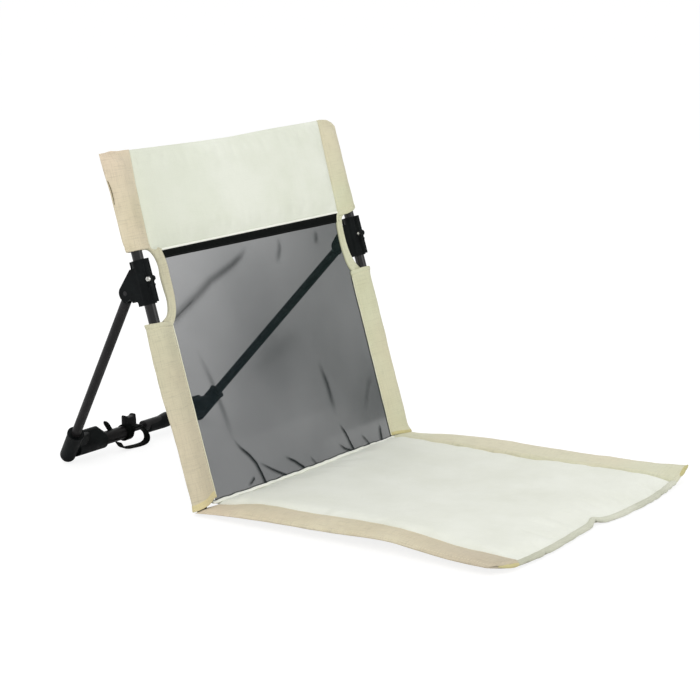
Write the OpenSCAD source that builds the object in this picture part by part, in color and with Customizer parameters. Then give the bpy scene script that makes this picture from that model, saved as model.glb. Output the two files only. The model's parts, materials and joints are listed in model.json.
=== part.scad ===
// Folding ground chair: a cloth seat that lies flat, a reclined cloth back on two uprights,
// and a folding prop frame behind it. X runs across, -Y is the front and Z is up.

/* [Size] */
// Width across the side bands
overall_w = 424; // [400:4:460]
// Length of the seat, from its hinge line to the front hem
seat_len = 359; // [320:1:400]
// Length of the back, along its slope
back_len = 384; // [360:2:420]
// Lean of the back from upright, in degrees
recline = 17; // [12:1:22]

/* [Cloth] */
// Width of the beige bands beside the seat and the mesh
band_w = 41; // [38:1:44]
// Width of the beige sleeves on the headrest
head_band_w = 37; // [35:1:42]
// Height of the headrest, along the back
head_h = 108; // [95:1:115]
// Height of the side windows
window_h = 73; // [68:1:84]
// Distance from the side edge in to the window's binding
window_w = 38; // [34:1:42]
// Width of the binding round a window
binding_w = 12.5; // [9:0.5:14]
// Thickness of the binding
binding_t = 2.4; // [1.6:0.2:3]
// Thickness of one layer of cloth
cloth_t = 1.4; // [1:0.1:1.8]
// Thickness of the mesh
mesh_t = 1; // [0.6:0.1:1.4]
// Height of the webbing below the headrest
web_h = 10; // [8:0.5:14]
// Thickness of the webbing
web_t = 1.8; // [1.2:0.1:2.4]
// Height of the folds in the mesh
fold_h = 3.5; // [0:0.5:5]
// Width of the folds in the mesh
fold_w = 13; // [8:0.5:18]
// Depth to which the mesh sags to the rear
mesh_sag = 4; // [0:0.5:8]
// Crown of the headrest, each way from its middle plane
head_crown = 4; // [1:0.5:6]

/* [Seat] */
// Thickness of the seat at its seams
seat_t = 9; // [7:0.5:12]
// Crown of the seat panel above its seams
seat_crown = 2.5; // [0:0.5:4]
// Height to which the left front corner lifts off the ground
left_lift = 5; // [0:1:14]
// Height to which the right front corner lifts off the ground
right_lift = 13; // [0:1:16]
// Height to which the left edge bows up halfway along
edge_bow = 6; // [0:1:8]
// Depth of the front hem
hem_w = 9; // [7:0.5:12]
// Distance from the hinge line back to the foot of the uprights
foot_gap = 7.8; // [7.6:0.1:9]

/* [Frame] */
// Diameter of the uprights
upright_d = 12; // [11:0.5:13]
// Diameter of the prop legs
leg_d = 11; // [10:0.5:12]
// Diameter of the outer tubes of the cross bar
bar_d = 16; // [15:0.5:17]
// Wall of every tube
tube_wall = 1.2; // [1:0.1:1.5]
// Distance from the side edge in to the upright's axis
upright_inset = 14.5; // [13.5:0.5:16]
// Distance on the ground from the uprights' feet back to the cross bar
prop_reach = 252.5; // [235:0.5:270]
// Distance between the legs' axes where they meet the cross bar
bar_span = 247; // [230:1:270]
// Height of the cross bar's axis
bar_z = 16.7; // [15.5:0.1:18]
// Distance from the middle to the cone on the right half of the cross bar
cone_at = 25; // [22:1:30]
// Length of that cone
cone_len = 20; // [16:1:24]
// Distance from the middle to the end of the core's thick part
stub_at = 7; // [4:1:10]
// Distance from the middle to the mouth of the left tube
mouth_at = 20; // [18:1:24]
// Diameter of the rod between the two halves
rod_d = 6; // [5:0.5:8]

/* [Bracket] */
// Length of the bracket along the upright
bracket_len = 48; // [46:1:54]
// Height of the bracket above the middle of the window
bracket_rise = 6; // [4:0.5:7]
// Wall of the bracket's sleeve
bracket_wall = 2.2; // [1.8:0.1:2.6]
// Distance from the upright's axis back to the pivot
pivot_out = 23; // [22:0.5:25]
// Distance of the pivot below the bracket's middle
pivot_drop = 6.5; // [5:0.5:8]
// Thickness of each cheek beside the knuckle
cheek_t = 4; // [3.5:0.1:4.5]
// Width of the knuckle's tongue
tongue_w = 8; // [7:0.5:9]
// Diameter of the pivot pin
pin_d = 5; // [4:0.5:6]
// Distance from the upright's axis to the front of the flange
flange_out = 12.6; // [12.4:0.1:14]
// Width of the flange
flange_w = 6; // [5.5:0.5:8]
// Diameter of the clamp bolt
bolt_d = 3; // [2.5:0.5:3]

/* [Elbow] */
// Wall of the socket round the leg
socket_wall = 3.7; // [3:0.1:4]
// Distance from the cross bar's axis up the leg to the socket's rim
socket_up = 29.5; // [26:0.5:32]
// Length of the arm, from the leg's axis to its end
arm_len = 55; // [52:1:60]
// Height of the arm's hump above the cross bar's axis
hump_h = 18; // [16:0.5:19]

/* [Strap] */
// Width of the packing strap
strap_w = 10; // [8:0.5:12]
// Thickness of the packing strap
strap_t = 1.8; // [1.4:0.1:2.2]
// Width of the open loop of the strap
loop_w = 51; // [46:1:54]
// Height of the open loop of the strap
loop_h = 26; // [24:0.5:28]
// Width of the buckle
buckle_w = 17; // [15:0.5:18]
// Height of the buckle
buckle_h = 9.8; // [8:0.2:11]

/* [Hidden] */
$fn = 40;

// Clearances
snug = 0.05;
running = 0.06;
seat_gap = 0.3;
binding_gap = 1.1;
overrun = 1;

// Radii of the tubes
upright_r = upright_d / 2;
leg_r = leg_d / 2;
bar_r = bar_d / 2;
core_r = bar_r - tube_wall - snug;

// Half widths
half_w = overall_w / 2;
upright_x = half_w - upright_inset;
panel_half = half_w - band_w;
head_half = half_w - head_band_w;

// The legs run from the pivots down to the cross bar
window_low = back_len - head_h - window_h;
window_top = back_len - head_h;
bracket_mid = (window_low + window_top) / 2 + bracket_rise;
bracket_low = bracket_mid - bracket_len / 2;
bracket_top = bracket_mid + bracket_len / 2;
pivot_s = bracket_mid - pivot_drop;
pivot_y = pivot_s * sin(recline) + pivot_out * cos(recline);
pivot_z = upright_r + pivot_s * cos(recline) - pivot_out * sin(recline);
leg_vec = [bar_span / 2 - upright_x, prop_reach - pivot_y, bar_z - pivot_z];
leg_len = norm(leg_vec);
leg_dir = leg_vec / leg_len;
leg_swing = atan2(leg_vec.y, -leg_vec.z);
leg_open = leg_swing + recline;

// The origin is under the middle of the whole chair
socket_r = leg_r + socket_wall;
dome_drop = (bar_z - socket_r) / -leg_dir.z;
rear_reach = foot_gap + prop_reach + dome_drop * leg_dir.y + socket_r;
hinge_y = (seat_len - rear_reach) / 2;
foot_y = hinge_y + foot_gap;
bar_y = foot_y + prop_reach;
front_y = hinge_y - seat_len;

// Sleeves of cloth round the uprights
bore_r = upright_r + seat_gap;
sleeve_peak = bore_r + cloth_t;
sleeve_edge = cloth_t;
foot_len = 3;
cap_len = 4;
cap_gap = 8;
plug_len = 14;
upright_top = back_len - cap_gap - cap_len;
sleeve_low = 1.6;
sleeve_steps = 8;

// The window's binding is a C of two arcs and a straight
binding_turn = 8;
binding_sweep = 70;
binding_x = half_w - window_w + binding_turn;
arc_low = window_low + binding_turn + binding_w / 2;
arc_top = window_top - binding_turn - binding_w / 2;

// Bracket
sleeve_r = upright_r + bracket_wall;
fin_w = tongue_w + 2 * cheek_t + 2 * running;
eye_wall = 4;
eye_r = pin_d / 2 + eye_wall;
eye_room = 0.4;
fin_rim = 1.6;
fin_r = eye_r + eye_room + fin_rim;
lug_rise = 1.9;
lug_out = sleeve_r + lug_rise;
lug_h = 7.5;
lug_step = 1.4;
lug_w = 8;
arch_r = 4;
arch_up = 3;
flange_end = 1.2;
flange_round = 2;
slit_w = 1.2;
bolt_out = 10.2;
bolt_up = 2.2;
boss_wall = 2.1;
boss_r = bolt_d / 2 + boss_wall;
boss_h = 0.6;
bolt_head_share = 0.97;
bolt_face_share = 0.8;
bolt_head_h = 1.9;
nut_flat_share = 1.75;
nut_h = 1.8;
bolt_end = 0.3;
hex_share = 0.3;
peg_r = 1.5;
peg_h = 0.9;
peg_drop = 7;

// Knuckle, whose collar clears the cheeks although the leg leans inward
neck_h = 8.6;
collar_gap = 0.6;
collar_at = (fin_r + collar_gap - leg_r * leg_dir.x) / sqrt(1 - leg_dir.x * leg_dir.x);
collar_h = 2;
spigot_len = 22;

// Elbow
rim_h = 2.4;
rim_out = 0.7;
arm_wall = 2.8;
arm_r = bar_r + arm_wall;
arm_stop = 18;
hump_r = 4.5;
hump_in = 8;
hump_end = 9.5;

// Cross bar
bar_x = bar_span / 2;
bar_end = bar_x - arm_stop;
ferrule_lip = 2.5;
ferrule_grip = 7;
core_plug = 34;
ferrule_thin = 0.9;
ferrule_thick = 1.1;
ferrule_r = bar_r + snug + ferrule_thick;
rod_r = rod_d / 2;
rod_plug = 16;
bush_lip = 1.5;
bush_len = 12;
stub_end = 3;

// Strap, wrapped round the left tube at its mouth
anchor_x = -(mouth_at + seat_gap + strap_w / 2);
anchor_r = bar_r + snug + strap_t;
strap_y = bar_y - anchor_r - seat_gap - strap_w / 2;
loop_out = 4.7;
loop_x = anchor_x - loop_out;
loop_lift = 0.6;
loop_z = loop_lift + (loop_h + strap_t) / 2;
loop_steps = 26;
loop_from = 172;
loop_to = 415;
loop_inset = 1;
buckle_t = 4;
buckle_out = 5.3;
buckle_turn = 2;
horn_w = 3;
horn_h = 3;
horn_turn = 0.8;
notch_turn = 1.2;
tail_x = -53;
tail_w = 7.4;
tail_h = 11;
tail_lean = 4.6;
tail_turn = 2.6;

// Shares: caps, crowns, lifts and folds of the cloth
cap_rim_share = 0.3;
flat_share = 0.35;
lift_share = 0.55;
band_swell_share = 0.1;
band_edge_share = 0.6;
hem_edge_share = 0.45;
hem_pucker_share = 0.06;
puckers = 9;
// Each fold of the mesh: both ends, as shares of its half width and height, and its strength
fold_shares = [
    [[-0.96, 0.78], [-0.08, 1], 1],
    [[0.30, 1], [0.25, 0.86], 0.6],
    [[-0.78, 0.56], [-0.70, 0.24], 0.7],
    [[0.43, 0.46], [0.44, 0.16], 0.6],
    [[-0.67, 0.20], [-0.50, 0.02], 1],
    [[-0.50, 0.11], [-0.27, 0], 0.8],
    [[-0.23, 0.10], [-0.05, 0.01], 0.7],
    [[0.45, 0.15], [0.52, 0.02], 0.8],
    [[0.66, 0.08], [0.75, 0.01], 0.7]
];

// Points on an arc round a centre, from one angle to another
function arc(c, r, from, to, steps = 6) =
    [for (i = [0:steps]) c + r * [cos(from + (to - from) * i / steps), sin(from + (to - from) * i / steps)]];

// The angle brought to within half a turn of zero
function turn(a) = a > 180 ? a - 360 : a < -180 ? a + 360 : a;

// A corner b between a and c, rounded to radius r
function fillet(a, b, c, r, steps = 4) =
    let (u = (a - b) / norm(a - b), v = (c - b) / norm(c - b), half = acos(u * v) / 2,
        m = b + (u + v) / norm(u + v) * r / sin(half),
        p = b + u * r / tan(half) - m, q = b + v * r / tan(half) - m,
        from = atan2(p.y, p.x))
    arc(m, r, from, from + turn(atan2(q.y, q.x) - from), steps);

// An outline with each corner rounded to its own radius, where zero leaves it sharp
function rounded(pts, radii) =
    let (n = len(pts))
    [for (i = [0:n - 1]) each radii[i] == 0 ? [pts[i]]
        : fillet(pts[(i + n - 1) % n], pts[i], pts[(i + 1) % n], radii[i])];

// A closed sheet between two surfaces, each a function of two shares from 0 to 1
module slab(nu, nv, low, high) {
    row = nu + 1;
    top = row * (nv + 1);
    points = [for (s = [low, high], j = [0:nv], i = [0:nu]) s(i / nu, j / nv)];
    at = function (i, j) j * row + i;
    faces = [
        for (j = [0:nv - 1], i = [0:nu - 1]) each [
            [top + at(i, j), top + at(i, j + 1), top + at(i + 1, j + 1)],
            [top + at(i, j), top + at(i + 1, j + 1), top + at(i + 1, j)],
            [at(i, j), at(i + 1, j + 1), at(i, j + 1)],
            [at(i, j), at(i + 1, j), at(i + 1, j + 1)]
        ],
        for (i = [0:nu - 1]) each [
            [at(i, 0), top + at(i, 0), top + at(i + 1, 0)],
            [at(i, 0), top + at(i + 1, 0), at(i + 1, 0)],
            [at(i, nv), top + at(i + 1, nv), top + at(i, nv)],
            [at(i, nv), at(i + 1, nv), top + at(i + 1, nv)]
        ],
        for (j = [0:nv - 1]) each [
            [at(0, j + 1), top + at(0, j + 1), top + at(0, j)],
            [at(0, j + 1), top + at(0, j), at(0, j)],
            [at(nu, j), top + at(nu, j), top + at(nu, j + 1)],
            [at(nu, j), top + at(nu, j + 1), at(nu, j + 1)]
        ]
    ];
    polyhedron(points, faces);
}

// Places a right-hand piece, or its mirror image on the left
module on_side(side) {
    if (side < 0) mirror([1, 0, 0]) children();
    else children();
}

// The back's frame: X across, Y square to the back towards the rear, Z up its slope
module on_back() {
    translate([0, foot_y, upright_r]) rotate([-recline, 0, 0]) children();
}

// The same frame, moved out to the right upright
module on_upright() {
    on_back() translate([upright_x, 0, 0]) children();
}

// The pivot's frame, with -Z along the open leg as seen from the side
module at_pivot() {
    on_upright() translate([0, pivot_out, pivot_s]) rotate([leg_open, 0, 0]) children();
}

// The right leg's frame, with Z from the pivot down the leg
module along_leg() {
    on_upright() translate([0, pivot_out, pivot_s]) rotate([recline, 0, 0])
        rotate([0, acos(leg_dir.z), atan2(leg_dir.y, leg_dir.x)]) children();
}

// The cross bar's frame, with Z along it to the right
module along_bar() {
    translate([0, bar_y, bar_z]) rotate([0, 90, 0]) children();
}

// A plate of width w across X, from an outline drawn in Y and Z
module side_plate(w) {
    translate([-w / 2, 0, 0]) rotate([90, 0, 90]) linear_extrude(w) children();
}

// Section of a cloth sleeve round an upright: thin at its seams, full over the tube
function sleeve_side(from, w) =
    [for (i = [0:sleeve_steps]) let (x = from + (w - from) * i / sleeve_steps)
        [x, sleeve_edge + (sleeve_peak - sleeve_edge) * (0.5 + 0.5 * cos(180 * x / w))]];
function sleeve_section(w_in, w_out) =
    let (outer = sleeve_side(0, w_out), inner = sleeve_side(0, w_in),
        front = concat([for (i = [sleeve_steps:-1:1]) [-inner[i].x, inner[i].y]], outer))
    concat(front, [for (i = [len(front) - 1:-1:0]) [front[i].x, -front[i].y]]);

// Uprights and what is in their ends
module upright(side) {
    color([0.18, 0.17, 0.18]) on_side(side) on_upright() translate([0, 0, foot_len])
        difference() {
            cylinder(r = upright_r, h = upright_top - foot_len);
            translate([0, 0, -overrun])
                cylinder(r = upright_r - tube_wall, h = upright_top - foot_len + 2 * overrun);
        }
}

module top_cap(side) {
    color([0.1, 0.1, 0.1]) on_side(side) on_upright() translate([0, 0, upright_top])
        rotate_extrude()
            polygon(concat([[0, -plug_len], [upright_r - tube_wall - snug, -plug_len],
                [upright_r - tube_wall - snug, 0], [upright_r, 0]],
                [for (i = [0:8]) [upright_r * cos(90 * i / 8),
                    cap_len * (cap_rim_share + (1 - cap_rim_share) * sin(90 * i / 8))]]));
}

module foot_plug(side) {
    color([0.1, 0.1, 0.1]) on_side(side) on_upright() {
        difference() {
            sphere(r = upright_r);
            translate([0, 0, foot_len]) cylinder(r = upright_r, h = upright_r);
        }
        cylinder(r = upright_r, h = foot_len);
        cylinder(r = upright_r - tube_wall - snug, h = foot_len + plug_len);
    }
}

// Outline of the bracket's rear fin, with the arc round the pivot and the arch below it
function fin_outline() =
    let (pivot = [pivot_out, pivot_s], root = [lug_out - lug_step, bracket_top - lug_h],
        reach = root - pivot,
        from = atan2(reach.y, reach.x) - acos(fin_r / norm(reach)))
    concat([[0, bracket_low], [0, bracket_top - lug_h], root],
        arc(pivot, fin_r, from, -125, 12),
        arc([sleeve_r + arch_r, bracket_low + arch_up], arch_r, 40, 180, 8),
        [[sleeve_r, bracket_low]]);

// The room that the knuckle's tongue sweeps between the cheeks
module tongue_sweep() {
    far = 2 * fin_r;
    half_h = neck_h / 2 + running;
    translate([pivot_out, pivot_s]) {
        circle(r = eye_r + eye_room);
        rotate(-90) translate([0, -half_h]) square([far, 2 * half_h]);
        rotate(leg_open - 90) translate([0, -half_h]) square([far, 2 * half_h]);
        polygon([[0, 0], [0, -far], far * [sin(leg_open), -cos(leg_open)]]);
    }
}

module bolt_axis() {
    translate([0, -bolt_out, bracket_mid + bolt_up]) rotate([0, 90, 0]) children();
}

module bracket(side) {
    color([0.12, 0.13, 0.14]) on_side(side) on_upright() difference() {
        union() {
            translate([0, 0, bracket_low]) cylinder(r = sleeve_r, h = bracket_len);
            side_plate(fin_w) polygon(fin_outline());
            side_plate(lug_w) translate([0, bracket_top - lug_h]) square([lug_out, lug_h]);
            translate([0, 0, bracket_low + flange_end])
                linear_extrude(bracket_len - flange_end)
                    polygon(rounded([[-flange_w / 2, 0], [-flange_w / 2, -flange_out],
                        [flange_w / 2, -flange_out], [flange_w / 2, 0]],
                        [0, flange_round, flange_round, 0]));
            bolt_axis() translate([0, 0, -flange_w / 2]) cylinder(r = boss_r, h = flange_w + boss_h);
            bolt_axis() translate([peg_drop, 0, -flange_w / 2 - peg_h])
                cylinder(r = peg_r, h = flange_w + 2 * peg_h);
        }
        translate([0, 0, bracket_low - overrun])
            cylinder(r = upright_r + snug, h = bracket_len + 2 * overrun);
        translate([-slit_w / 2, -bolt_out - boss_r - overrun, bracket_low - overrun])
            cube([slit_w, bolt_out + boss_r, bracket_len + 2 * overrun]);
        bolt_axis() translate([0, 0, -flange_w / 2 - overrun])
            cylinder(r = bolt_d / 2 + snug, h = flange_w + boss_h + 2 * overrun);
        side_plate(tongue_w + 2 * running) tongue_sweep();
        translate([-fin_w / 2 - overrun, pivot_out, pivot_s]) rotate([0, 90, 0])
            cylinder(r = pin_d / 2 + snug, h = fin_w + 2 * overrun);
    }
}

module clamp_bolt(side) {
    reach = flange_w / 2 + boss_h;
    head_r = bolt_d * bolt_head_share;
    inner = flange_w / 2 + nut_h + bolt_end;
    color([0.8, 0.8, 0.78]) on_side(side) on_upright() bolt_axis() difference() {
        union() {
            translate([0, 0, -inner]) cylinder(r = bolt_d / 2, h = inner + reach);
            translate([0, 0, reach]) cylinder(r1 = head_r, r2 = head_r * bolt_face_share, h = bolt_head_h);
        }
        translate([0, 0, reach + bolt_head_h / 2]) cylinder(r = bolt_d * hex_share, h = bolt_head_h, $fn = 6);
    }
}

module clamp_nut(side) {
    color([0.75, 0.75, 0.73]) on_side(side) on_upright() bolt_axis()
        translate([0, 0, -flange_w / 2 - nut_h]) difference() {
            cylinder(r = bolt_d * nut_flat_share / 2 / cos(30), h = nut_h, $fn = 6);
            translate([0, 0, -overrun]) cylinder(r = bolt_d / 2 + snug, h = nut_h + 2 * overrun);
        }
}

module pivot_pin(side) {
    color([0.15, 0.15, 0.16]) on_side(side) on_upright()
        translate([-fin_w / 2, pivot_out, pivot_s]) rotate([0, 90, 0])
            cylinder(r = pin_d / 2, h = fin_w);
}

// Headrest: two crowned panels back to back, and a sleeve over each upright
function head_bulge(u, v) = head_crown * (1 - pow(2 * u - 1, 4)) * (1 - pow(2 * v - 1, 4));

module head_panel(way) {
    mid = function (u, v) [head_half * (2 * u - 1), 0, window_top + head_h * v];
    face = function (u, v) mid(u, v) + [0, way * (sleeve_edge + head_bulge(u, v)), 0];
    color([0.9, 0.91, 0.85]) on_back() {
        if (way > 0) slab(14, 8, face, mid);
        else slab(14, 8, mid, face);
    }
}

module headrest_sleeve(side) {
    color([0.84, 0.8, 0.69]) on_side(side) on_upright() difference() {
        translate([0, 0, window_top]) linear_extrude(head_h)
            polygon(sleeve_section(upright_x - head_half, upright_inset));
        translate([0, 0, window_top - overrun])
            cylinder(r = bore_r, h = upright_top + cap_len + seat_gap - window_top + overrun);
    }
}

module webbing_band() {
    span = binding_x - binding_turn - binding_w - seat_gap;
    color([0.06, 0.06, 0.06]) on_back() translate([-span, -web_t / 2, window_top - web_h])
        cube([2 * span, web_t, web_h]);
}

// Inner edge of the window's binding at height s, as a distance from the middle
function binding_edge(s) =
    let (r = binding_turn + binding_w,
        over = s < arc_low ? arc_low - s : s > arc_top ? s - arc_top : 0)
    over < r ? binding_x - sqrt(r * r - over * over) : binding_x;

function mesh_half(s) = min(panel_half, binding_edge(s) - binding_gap);

// Height of the folds at a point of the mesh
function fold_at(x, s) =
    let (size = [panel_half, window_top - web_h], p = [x, s])
    [for (f = fold_shares)
        let (a = [f[0].x * size.x, f[0].y * size.y], b = [f[1].x * size.x, f[1].y * size.y],
            t = max(0, min(1, (p - a) * (b - a) / ((b - a) * (b - a)))),
            d = norm(p - a - t * (b - a)) / fold_w)
        f[2] * fold_h * exp(-d * d)] * [for (f = fold_shares) 1];

module mesh_panel() {
    low_s = (seat_t + seat_gap - upright_r + mesh_t / 2 * sin(recline)) / cos(recline);
    high_s = window_top - web_h - seat_gap;
    place = function (u, v, n)
        let (s = low_s + (high_s - low_s) * v, x = mesh_half(s) * (2 * u - 1),
            hold = (1 - pow(2 * u - 1, 4)) * (1 - pow(2 * v - 1, 6)))
        [x, n + hold * (mesh_sag - fold_at(x, s)), s];
    rear = function (u, v) place(u, v, mesh_t / 2);
    front = function (u, v) place(u, v, -mesh_t / 2);
    color([0.45, 0.47, 0.48]) on_back() slab(26, 22, rear, front);
}

module window_binding(side) {
    c_low = [binding_x, arc_low];
    c_top = [binding_x, arc_top];
    r_in = binding_turn + binding_w;
    color([0.84, 0.8, 0.69]) on_side(side) on_back() intersection() {
        rotate([90, 0, 0]) translate([0, 0, -binding_t / 2]) linear_extrude(binding_t)
            polygon(concat(arc(c_low, r_in, 180 + binding_sweep, 180),
                arc(c_top, r_in, 180, 180 - binding_sweep),
                arc(c_top, binding_turn, 180 - binding_sweep, 180),
                arc(c_low, binding_turn, 180, 180 + binding_sweep)));
        translate([0, -binding_t, window_low + seat_gap])
            cube([half_w, 2 * binding_t, window_h - 2 * seat_gap]);
    }
}

module lower_sleeve(side) {
    color([0.84, 0.8, 0.69]) on_side(side) on_upright() difference() {
        translate([0, 0, sleeve_low]) linear_extrude(window_low - sleeve_low)
            polygon(sleeve_section(upright_x - panel_half - seat_gap, upright_inset));
        translate([0, 0, sleeve_low - overrun])
            cylinder(r = bore_r, h = window_low - sleeve_low + 2 * overrun);
    }
}

// Prop frame
module knuckle(side) {
    color([0.1, 0.11, 0.12]) on_side(side) {
        difference() {
            union() {
                at_pivot() {
                    translate([-tongue_w / 2, 0, 0]) rotate([0, 90, 0]) cylinder(r = eye_r, h = tongue_w);
                    translate([-tongue_w / 2, -neck_h / 2, -collar_at - collar_h / 4])
                        cube([tongue_w, neck_h, collar_at + collar_h / 4]);
                }
                along_leg() translate([0, 0, collar_at]) cylinder(r = leg_r, h = collar_h);
                along_leg() translate([0, 0, collar_at])
                    cylinder(r = leg_r - tube_wall - snug, h = collar_h + spigot_len);
            }
            at_pivot() translate([-tongue_w, 0, 0]) rotate([0, 90, 0])
                cylinder(r = pin_d / 2 + running, h = 2 * tongue_w);
        }
    }
}

module leg(side) {
    start = collar_at + collar_h;
    color([0.18, 0.17, 0.18]) on_side(side) along_leg() translate([0, 0, start]) difference() {
        cylinder(r = leg_r, h = leg_len - start);
        translate([0, 0, -overrun]) cylinder(r = leg_r - tube_wall, h = leg_len - start + 2 * overrun);
    }
}

module elbow(side) {
    color([0.11, 0.12, 0.13]) on_side(side) difference() {
        union() {
            along_leg() translate([0, 0, leg_len - socket_up])
                cylinder(r = socket_r, h = socket_up + dome_drop);
            along_leg() translate([0, 0, leg_len - socket_up])
                cylinder(r = socket_r + rim_out, h = rim_h);
            along_leg() translate([0, 0, leg_len + dome_drop]) sphere(r = socket_r);
            hull() {
                along_bar() translate([0, 0, bar_x - arm_len])
                    cylinder(r = arm_r, h = arm_len - hump_in, $fn = 32);
                along_bar() translate([hump_r - hump_h, 0, bar_x - arm_len + hump_end])
                    cylinder(r = hump_r, h = arm_len - hump_end - hump_in, $fn = 32);
            }
        }
        along_leg() translate([0, 0, leg_len - socket_up - overrun])
            cylinder(r = leg_r + snug, h = socket_up + overrun + snug);
        along_bar() translate([0, 0, bar_x - arm_len - overrun])
            cylinder(r = bar_r + snug, h = arm_len - arm_stop + overrun);
    }
}

module bar_tube(side) {
    start = side < 0 ? mouth_at : cone_at + cone_len + snug;
    color([0.18, 0.17, 0.18]) on_side(side) along_bar() translate([0, 0, start]) difference() {
        cylinder(r = bar_r, h = bar_end - start);
        translate([0, 0, -overrun]) cylinder(r = bar_r - tube_wall, h = bar_end - start + 2 * overrun);
    }
}

// The cone on the right tube
module bar_ferrule_right() {
    thin = core_r + snug + ferrule_thin;
    color([0.14, 0.14, 0.15]) along_bar() translate([0, 0, cone_at]) rotate_extrude()
        polygon([[core_r + snug, 0], [thin, 0], [thin, ferrule_lip], [ferrule_r, cone_len],
            [ferrule_r, cone_len + ferrule_grip], [bar_r + snug, cone_len + ferrule_grip],
            [bar_r + snug, cone_len], [core_r + snug, cone_len]]);
}

// The bush in the left tube's mouth, which guides the rod
module bar_ferrule_left() {
    color([0.14, 0.14, 0.15]) on_side(-1) along_bar() translate([0, 0, mouth_at]) rotate_extrude()
        polygon([[rod_r + snug, -bush_lip - snug], [bar_r, -bush_lip - snug], [bar_r, -snug],
            [core_r, -snug], [core_r, bush_len], [rod_r + snug, bush_len]]);
}

module bar_core() {
    color([0.2, 0.19, 0.2]) along_bar() difference() {
        union() {
            translate([0, 0, -mouth_at - rod_plug])
                cylinder(r = rod_r, h = mouth_at + rod_plug + stub_at + stub_end / 2);
            translate([0, 0, stub_at]) cylinder(r = core_r, h = cone_at + core_plug - stub_at);
        }
        translate([0, 0, stub_at + stub_end])
            cylinder(r = core_r - tube_wall, h = cone_at + core_plug - stub_at);
    }
}

// Packing strap
module strap_anchor() {
    color([0.06, 0.06, 0.06]) along_bar() translate([0, 0, anchor_x - strap_w / 2]) difference() {
        cylinder(r = anchor_r, h = strap_w);
        translate([0, 0, -overrun]) cylinder(r = bar_r + snug, h = strap_w + 2 * overrun);
    }
}

// Middle line of the loop: an open ellipse whose upper end turns in to the wrap on the tube
loop_line = concat([for (i = [0:loop_steps]) let (a = loop_from + (loop_to - loop_from) * i / loop_steps)
    [loop_x + loop_w / 2 * cos(a), loop_z + loop_h / 2 * sin(a)]],
    [[anchor_x + loop_inset, bar_z + loop_inset], [anchor_x - loop_inset, bar_z - loop_inset]]);

// The line moved sideways by a distance
function beside(line, d) =
    [for (i = [0:len(line) - 1])
        let (way = line[min(i + 1, len(line) - 1)] - line[max(i - 1, 0)])
        line[i] + d * [way.y, -way.x] / norm(way)];

module strap_band() {
    inner = beside(loop_line, -strap_t / 2);
    color([0.06, 0.06, 0.06]) translate([0, strap_y + strap_w / 2, 0]) rotate([90, 0, 0])
        linear_extrude(strap_w)
            polygon(concat(beside(loop_line, strap_t / 2), [for (i = [len(inner) - 1:-1:0]) inner[i]]));
}

// A plate of depth d in Y, from an outline drawn in X and Z
module front_plate(d) {
    translate([0, d / 2, 0]) rotate([90, 0, 0]) linear_extrude(d) children();
}

module strap_buckle() {
    w = buckle_w / 2;
    notch = buckle_h - horn_h;
    color([0.05, 0.05, 0.05]) translate([anchor_x + buckle_out, bar_y, bar_z + anchor_r + snug])
        front_plate(buckle_t)
            polygon(rounded([[-w, 0], [w, 0], [w, buckle_h], [w - horn_w, notch], [horn_w - w, notch],
                [-w, buckle_h]], [buckle_turn, buckle_turn, horn_turn, notch_turn, notch_turn, horn_turn]));
}

module strap_tail() {
    w = tail_w / 2;
    color([0.06, 0.06, 0.06]) translate([tail_x, bar_y, bar_z + bar_r + snug]) front_plate(strap_t)
        polygon(rounded([[-w, 0], [w, 0], [w - tail_lean, tail_h], [-w - tail_lean, tail_h]],
            [0, 0, tail_turn, tail_turn]));
}

// Seat: how far the cloth lifts off the ground, and how far its panel swells above that
function lift_at(x, y) =
    let (out = max(0, (abs(x) / half_w - flat_share) / (1 - flat_share)),
        way = min(1, max(0, (hinge_y - y) / seat_len)),
        front = max(0, (way - lift_share) / (1 - lift_share)),
        rise = x < 0 ? left_lift * front * front + edge_bow * pow(sin(180 * way), 2)
            : right_lift * way * way)
    out * out * rise;
function crown_at(x, y) =
    let (a = min(1, max(0, (y - front_y - hem_w) / (foot_y - front_y - hem_w))))
    seat_crown * (1 - pow(x / panel_half, 4)) * (1 - pow(2 * a - 1, 6));

module seat_layer(low, high, tint) {
    rear_y = foot_y + foot_gap / 4;
    place = function (u, v, z, crown)
        let (x = panel_half * (2 * u - 1), y = front_y + hem_w + (rear_y - front_y - hem_w) * v)
        [x, y, lift_at(x, y) + z + crown * crown_at(x, y)];
    under = function (u, v) place(u, v, low[0], low[1]);
    over = function (u, v) place(u, v, high[0], high[1]);
    color(tint) slab(12, 12, under, over);
}

module seat_top() {
    seat_layer([seat_t - cloth_t, 1], [seat_t, 1], [0.9, 0.9, 0.86]);
}

module seat_pad() {
    seat_layer([cloth_t, 0], [seat_t - cloth_t, 1], [0.95, 0.95, 0.93]);
}

module seat_base() {
    seat_layer([0, 0], [cloth_t, 0], [0.8, 0.8, 0.76]);
}

module seat_band(side) {
    place = function (u, v, share)
        let (x = panel_half + band_w * u, y = front_y + seat_len * v)
        [x, y, lift_at(side * x, y) + share * seat_t];
    under = function (u, v) place(u, v, 0);
    over = function (u, v)
        place(u, v, 1 + band_swell_share * sin(180 * u) * sin(180 * v) - band_edge_share * pow(u, 4));
    color([0.84, 0.8, 0.69]) on_side(side) slab(6, 16, under, over);
}

module front_hem() {
    place = function (u, v, share)
        let (x = panel_half * (2 * u - 1), y = front_y + hem_w * v)
        [x, y, lift_at(x, y) + share * seat_t];
    under = function (u, v) place(u, v, 0);
    over = function (u, v)
        place(u, v, 1 - hem_edge_share * pow(1 - v, 2)
            + hem_pucker_share * sin(180 * v) * cos(360 * puckers * u));
    color([0.88, 0.88, 0.82]) slab(36, 4, under, over);
}

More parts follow.
